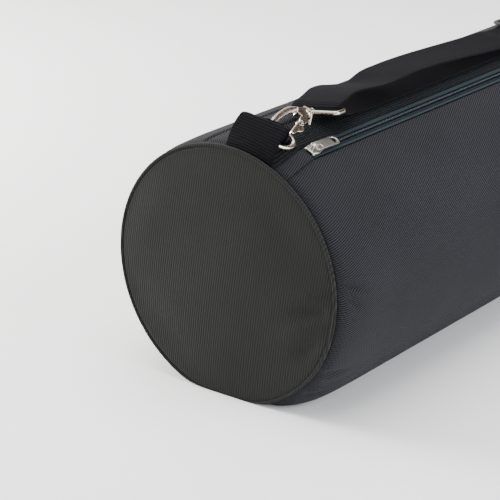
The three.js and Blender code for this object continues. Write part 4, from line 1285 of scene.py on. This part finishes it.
# A sweep of matt white paper with a faint unevenness
def paperFloor():
    material, tree, shader = newMaterial("paperSweep", **{"Roughness": 0.95, "Specular IOR Level": 0.1})
    place = addNode(tree, "ShaderNodeTexCoord")
    fibre = addNode(tree, "ShaderNodeTexNoise", inputs={
        "Vector": place.outputs["Object"], "Scale": 0.8, "Detail": 2.0})
    tone = addNode(tree, "ShaderNodeMix", {"data_type": "RGBA"}, {
        0: fibre.outputs["Fac"], 6: linear("#f3f3f3"), 7: linear("#fafafa")})
    tree.links.new(tone.outputs[2], shader.inputs["Base Color"])
    half, z = stage["floor"] / 2, stage["floorZ"]
    corners = [(-half, -half, z), (half, -half, z), (half, half, z), (-half, half, z)]
    mesh = bpy.data.meshes.new("floor")
    mesh.from_pydata(corners, [], [(0, 1, 2, 3)])
    mesh.materials.append(material)
    floor = linked("floor", mesh)


def roomLight():
    world = bpy.data.worlds.new("studio")
    world.use_nodes = True
    bpy.context.scene.world = world
    tree = world.node_tree
    tree.nodes["Background"].inputs["Strength"].default_value = stage["sky"]
    way = addNode(tree, "ShaderNodeTexCoord")
    split = addNode(tree, "ShaderNodeSeparateXYZ", inputs={0: way.outputs["Generated"]})
    rise = addNode(tree, "ShaderNodeMapRange", inputs={"Value": split.outputs["Z"], "From Max": 0.6})
    sky = addNode(tree, "ShaderNodeMix", {"data_type": "RGBA"}, {
        0: rise.outputs[0], 6: linear(stage["horizon"]), 7: linear(stage["pale"])})
    towards = addNode(tree, "ShaderNodeVectorMath", {"operation": "DOT_PRODUCT"}, {
        0: way.outputs["Generated"], 1: Vector(stage["warmTowards"]).normalized()})
    patch = addNode(tree, "ShaderNodeMapRange", {"interpolation_type": "SMOOTHSTEP"}, {
        "Value": towards.outputs["Value"],
        "From Min": stage["warmSpread"][0], "From Max": stage["warmSpread"][1]})
    room = addNode(tree, "ShaderNodeMix", {"data_type": "RGBA"}, {  # a warm dark wall for the metal to mirror
        0: patch.outputs[0], 6: sky.outputs[2], 7: linear(stage["warm"])})
    tree.links.new(room.outputs[2], tree.nodes["Background"].inputs["Color"])
    for name, place, size, power, colour in lights:
        data = bpy.data.lights.new(name, "AREA")
        data.shape = "SQUARE"
        data.size = size
        data.energy = power
        data.color = linear(colour)[:3]
        light = linked(name, data)
        light.location = place
        light.rotation_euler = (Vector(stage["aim"]) - Vector(place)).to_track_quat("-Z", "Y").to_euler()


lens = {
    "place": (-1.38055, -0.82281, 0.61446), "towards": (0.7416, 0.5711, -0.3518),
    "focal": 140.4, "sensor": 36.0, "clip": (0.05, 50),
}


def camera():
    data = bpy.data.cameras.new("camera")
    data.lens = lens["focal"]
    data.sensor_width = lens["sensor"]
    data.clip_start, data.clip_end = lens["clip"]
    view = linked("camera", data)
    view.location = lens["place"]
    view.rotation_euler = Vector(lens["towards"]).to_track_quat("-Z", "Y").to_euler()
    bpy.context.scene.camera = view


paperFloor()
roomLight()
camera()
print("stage set")
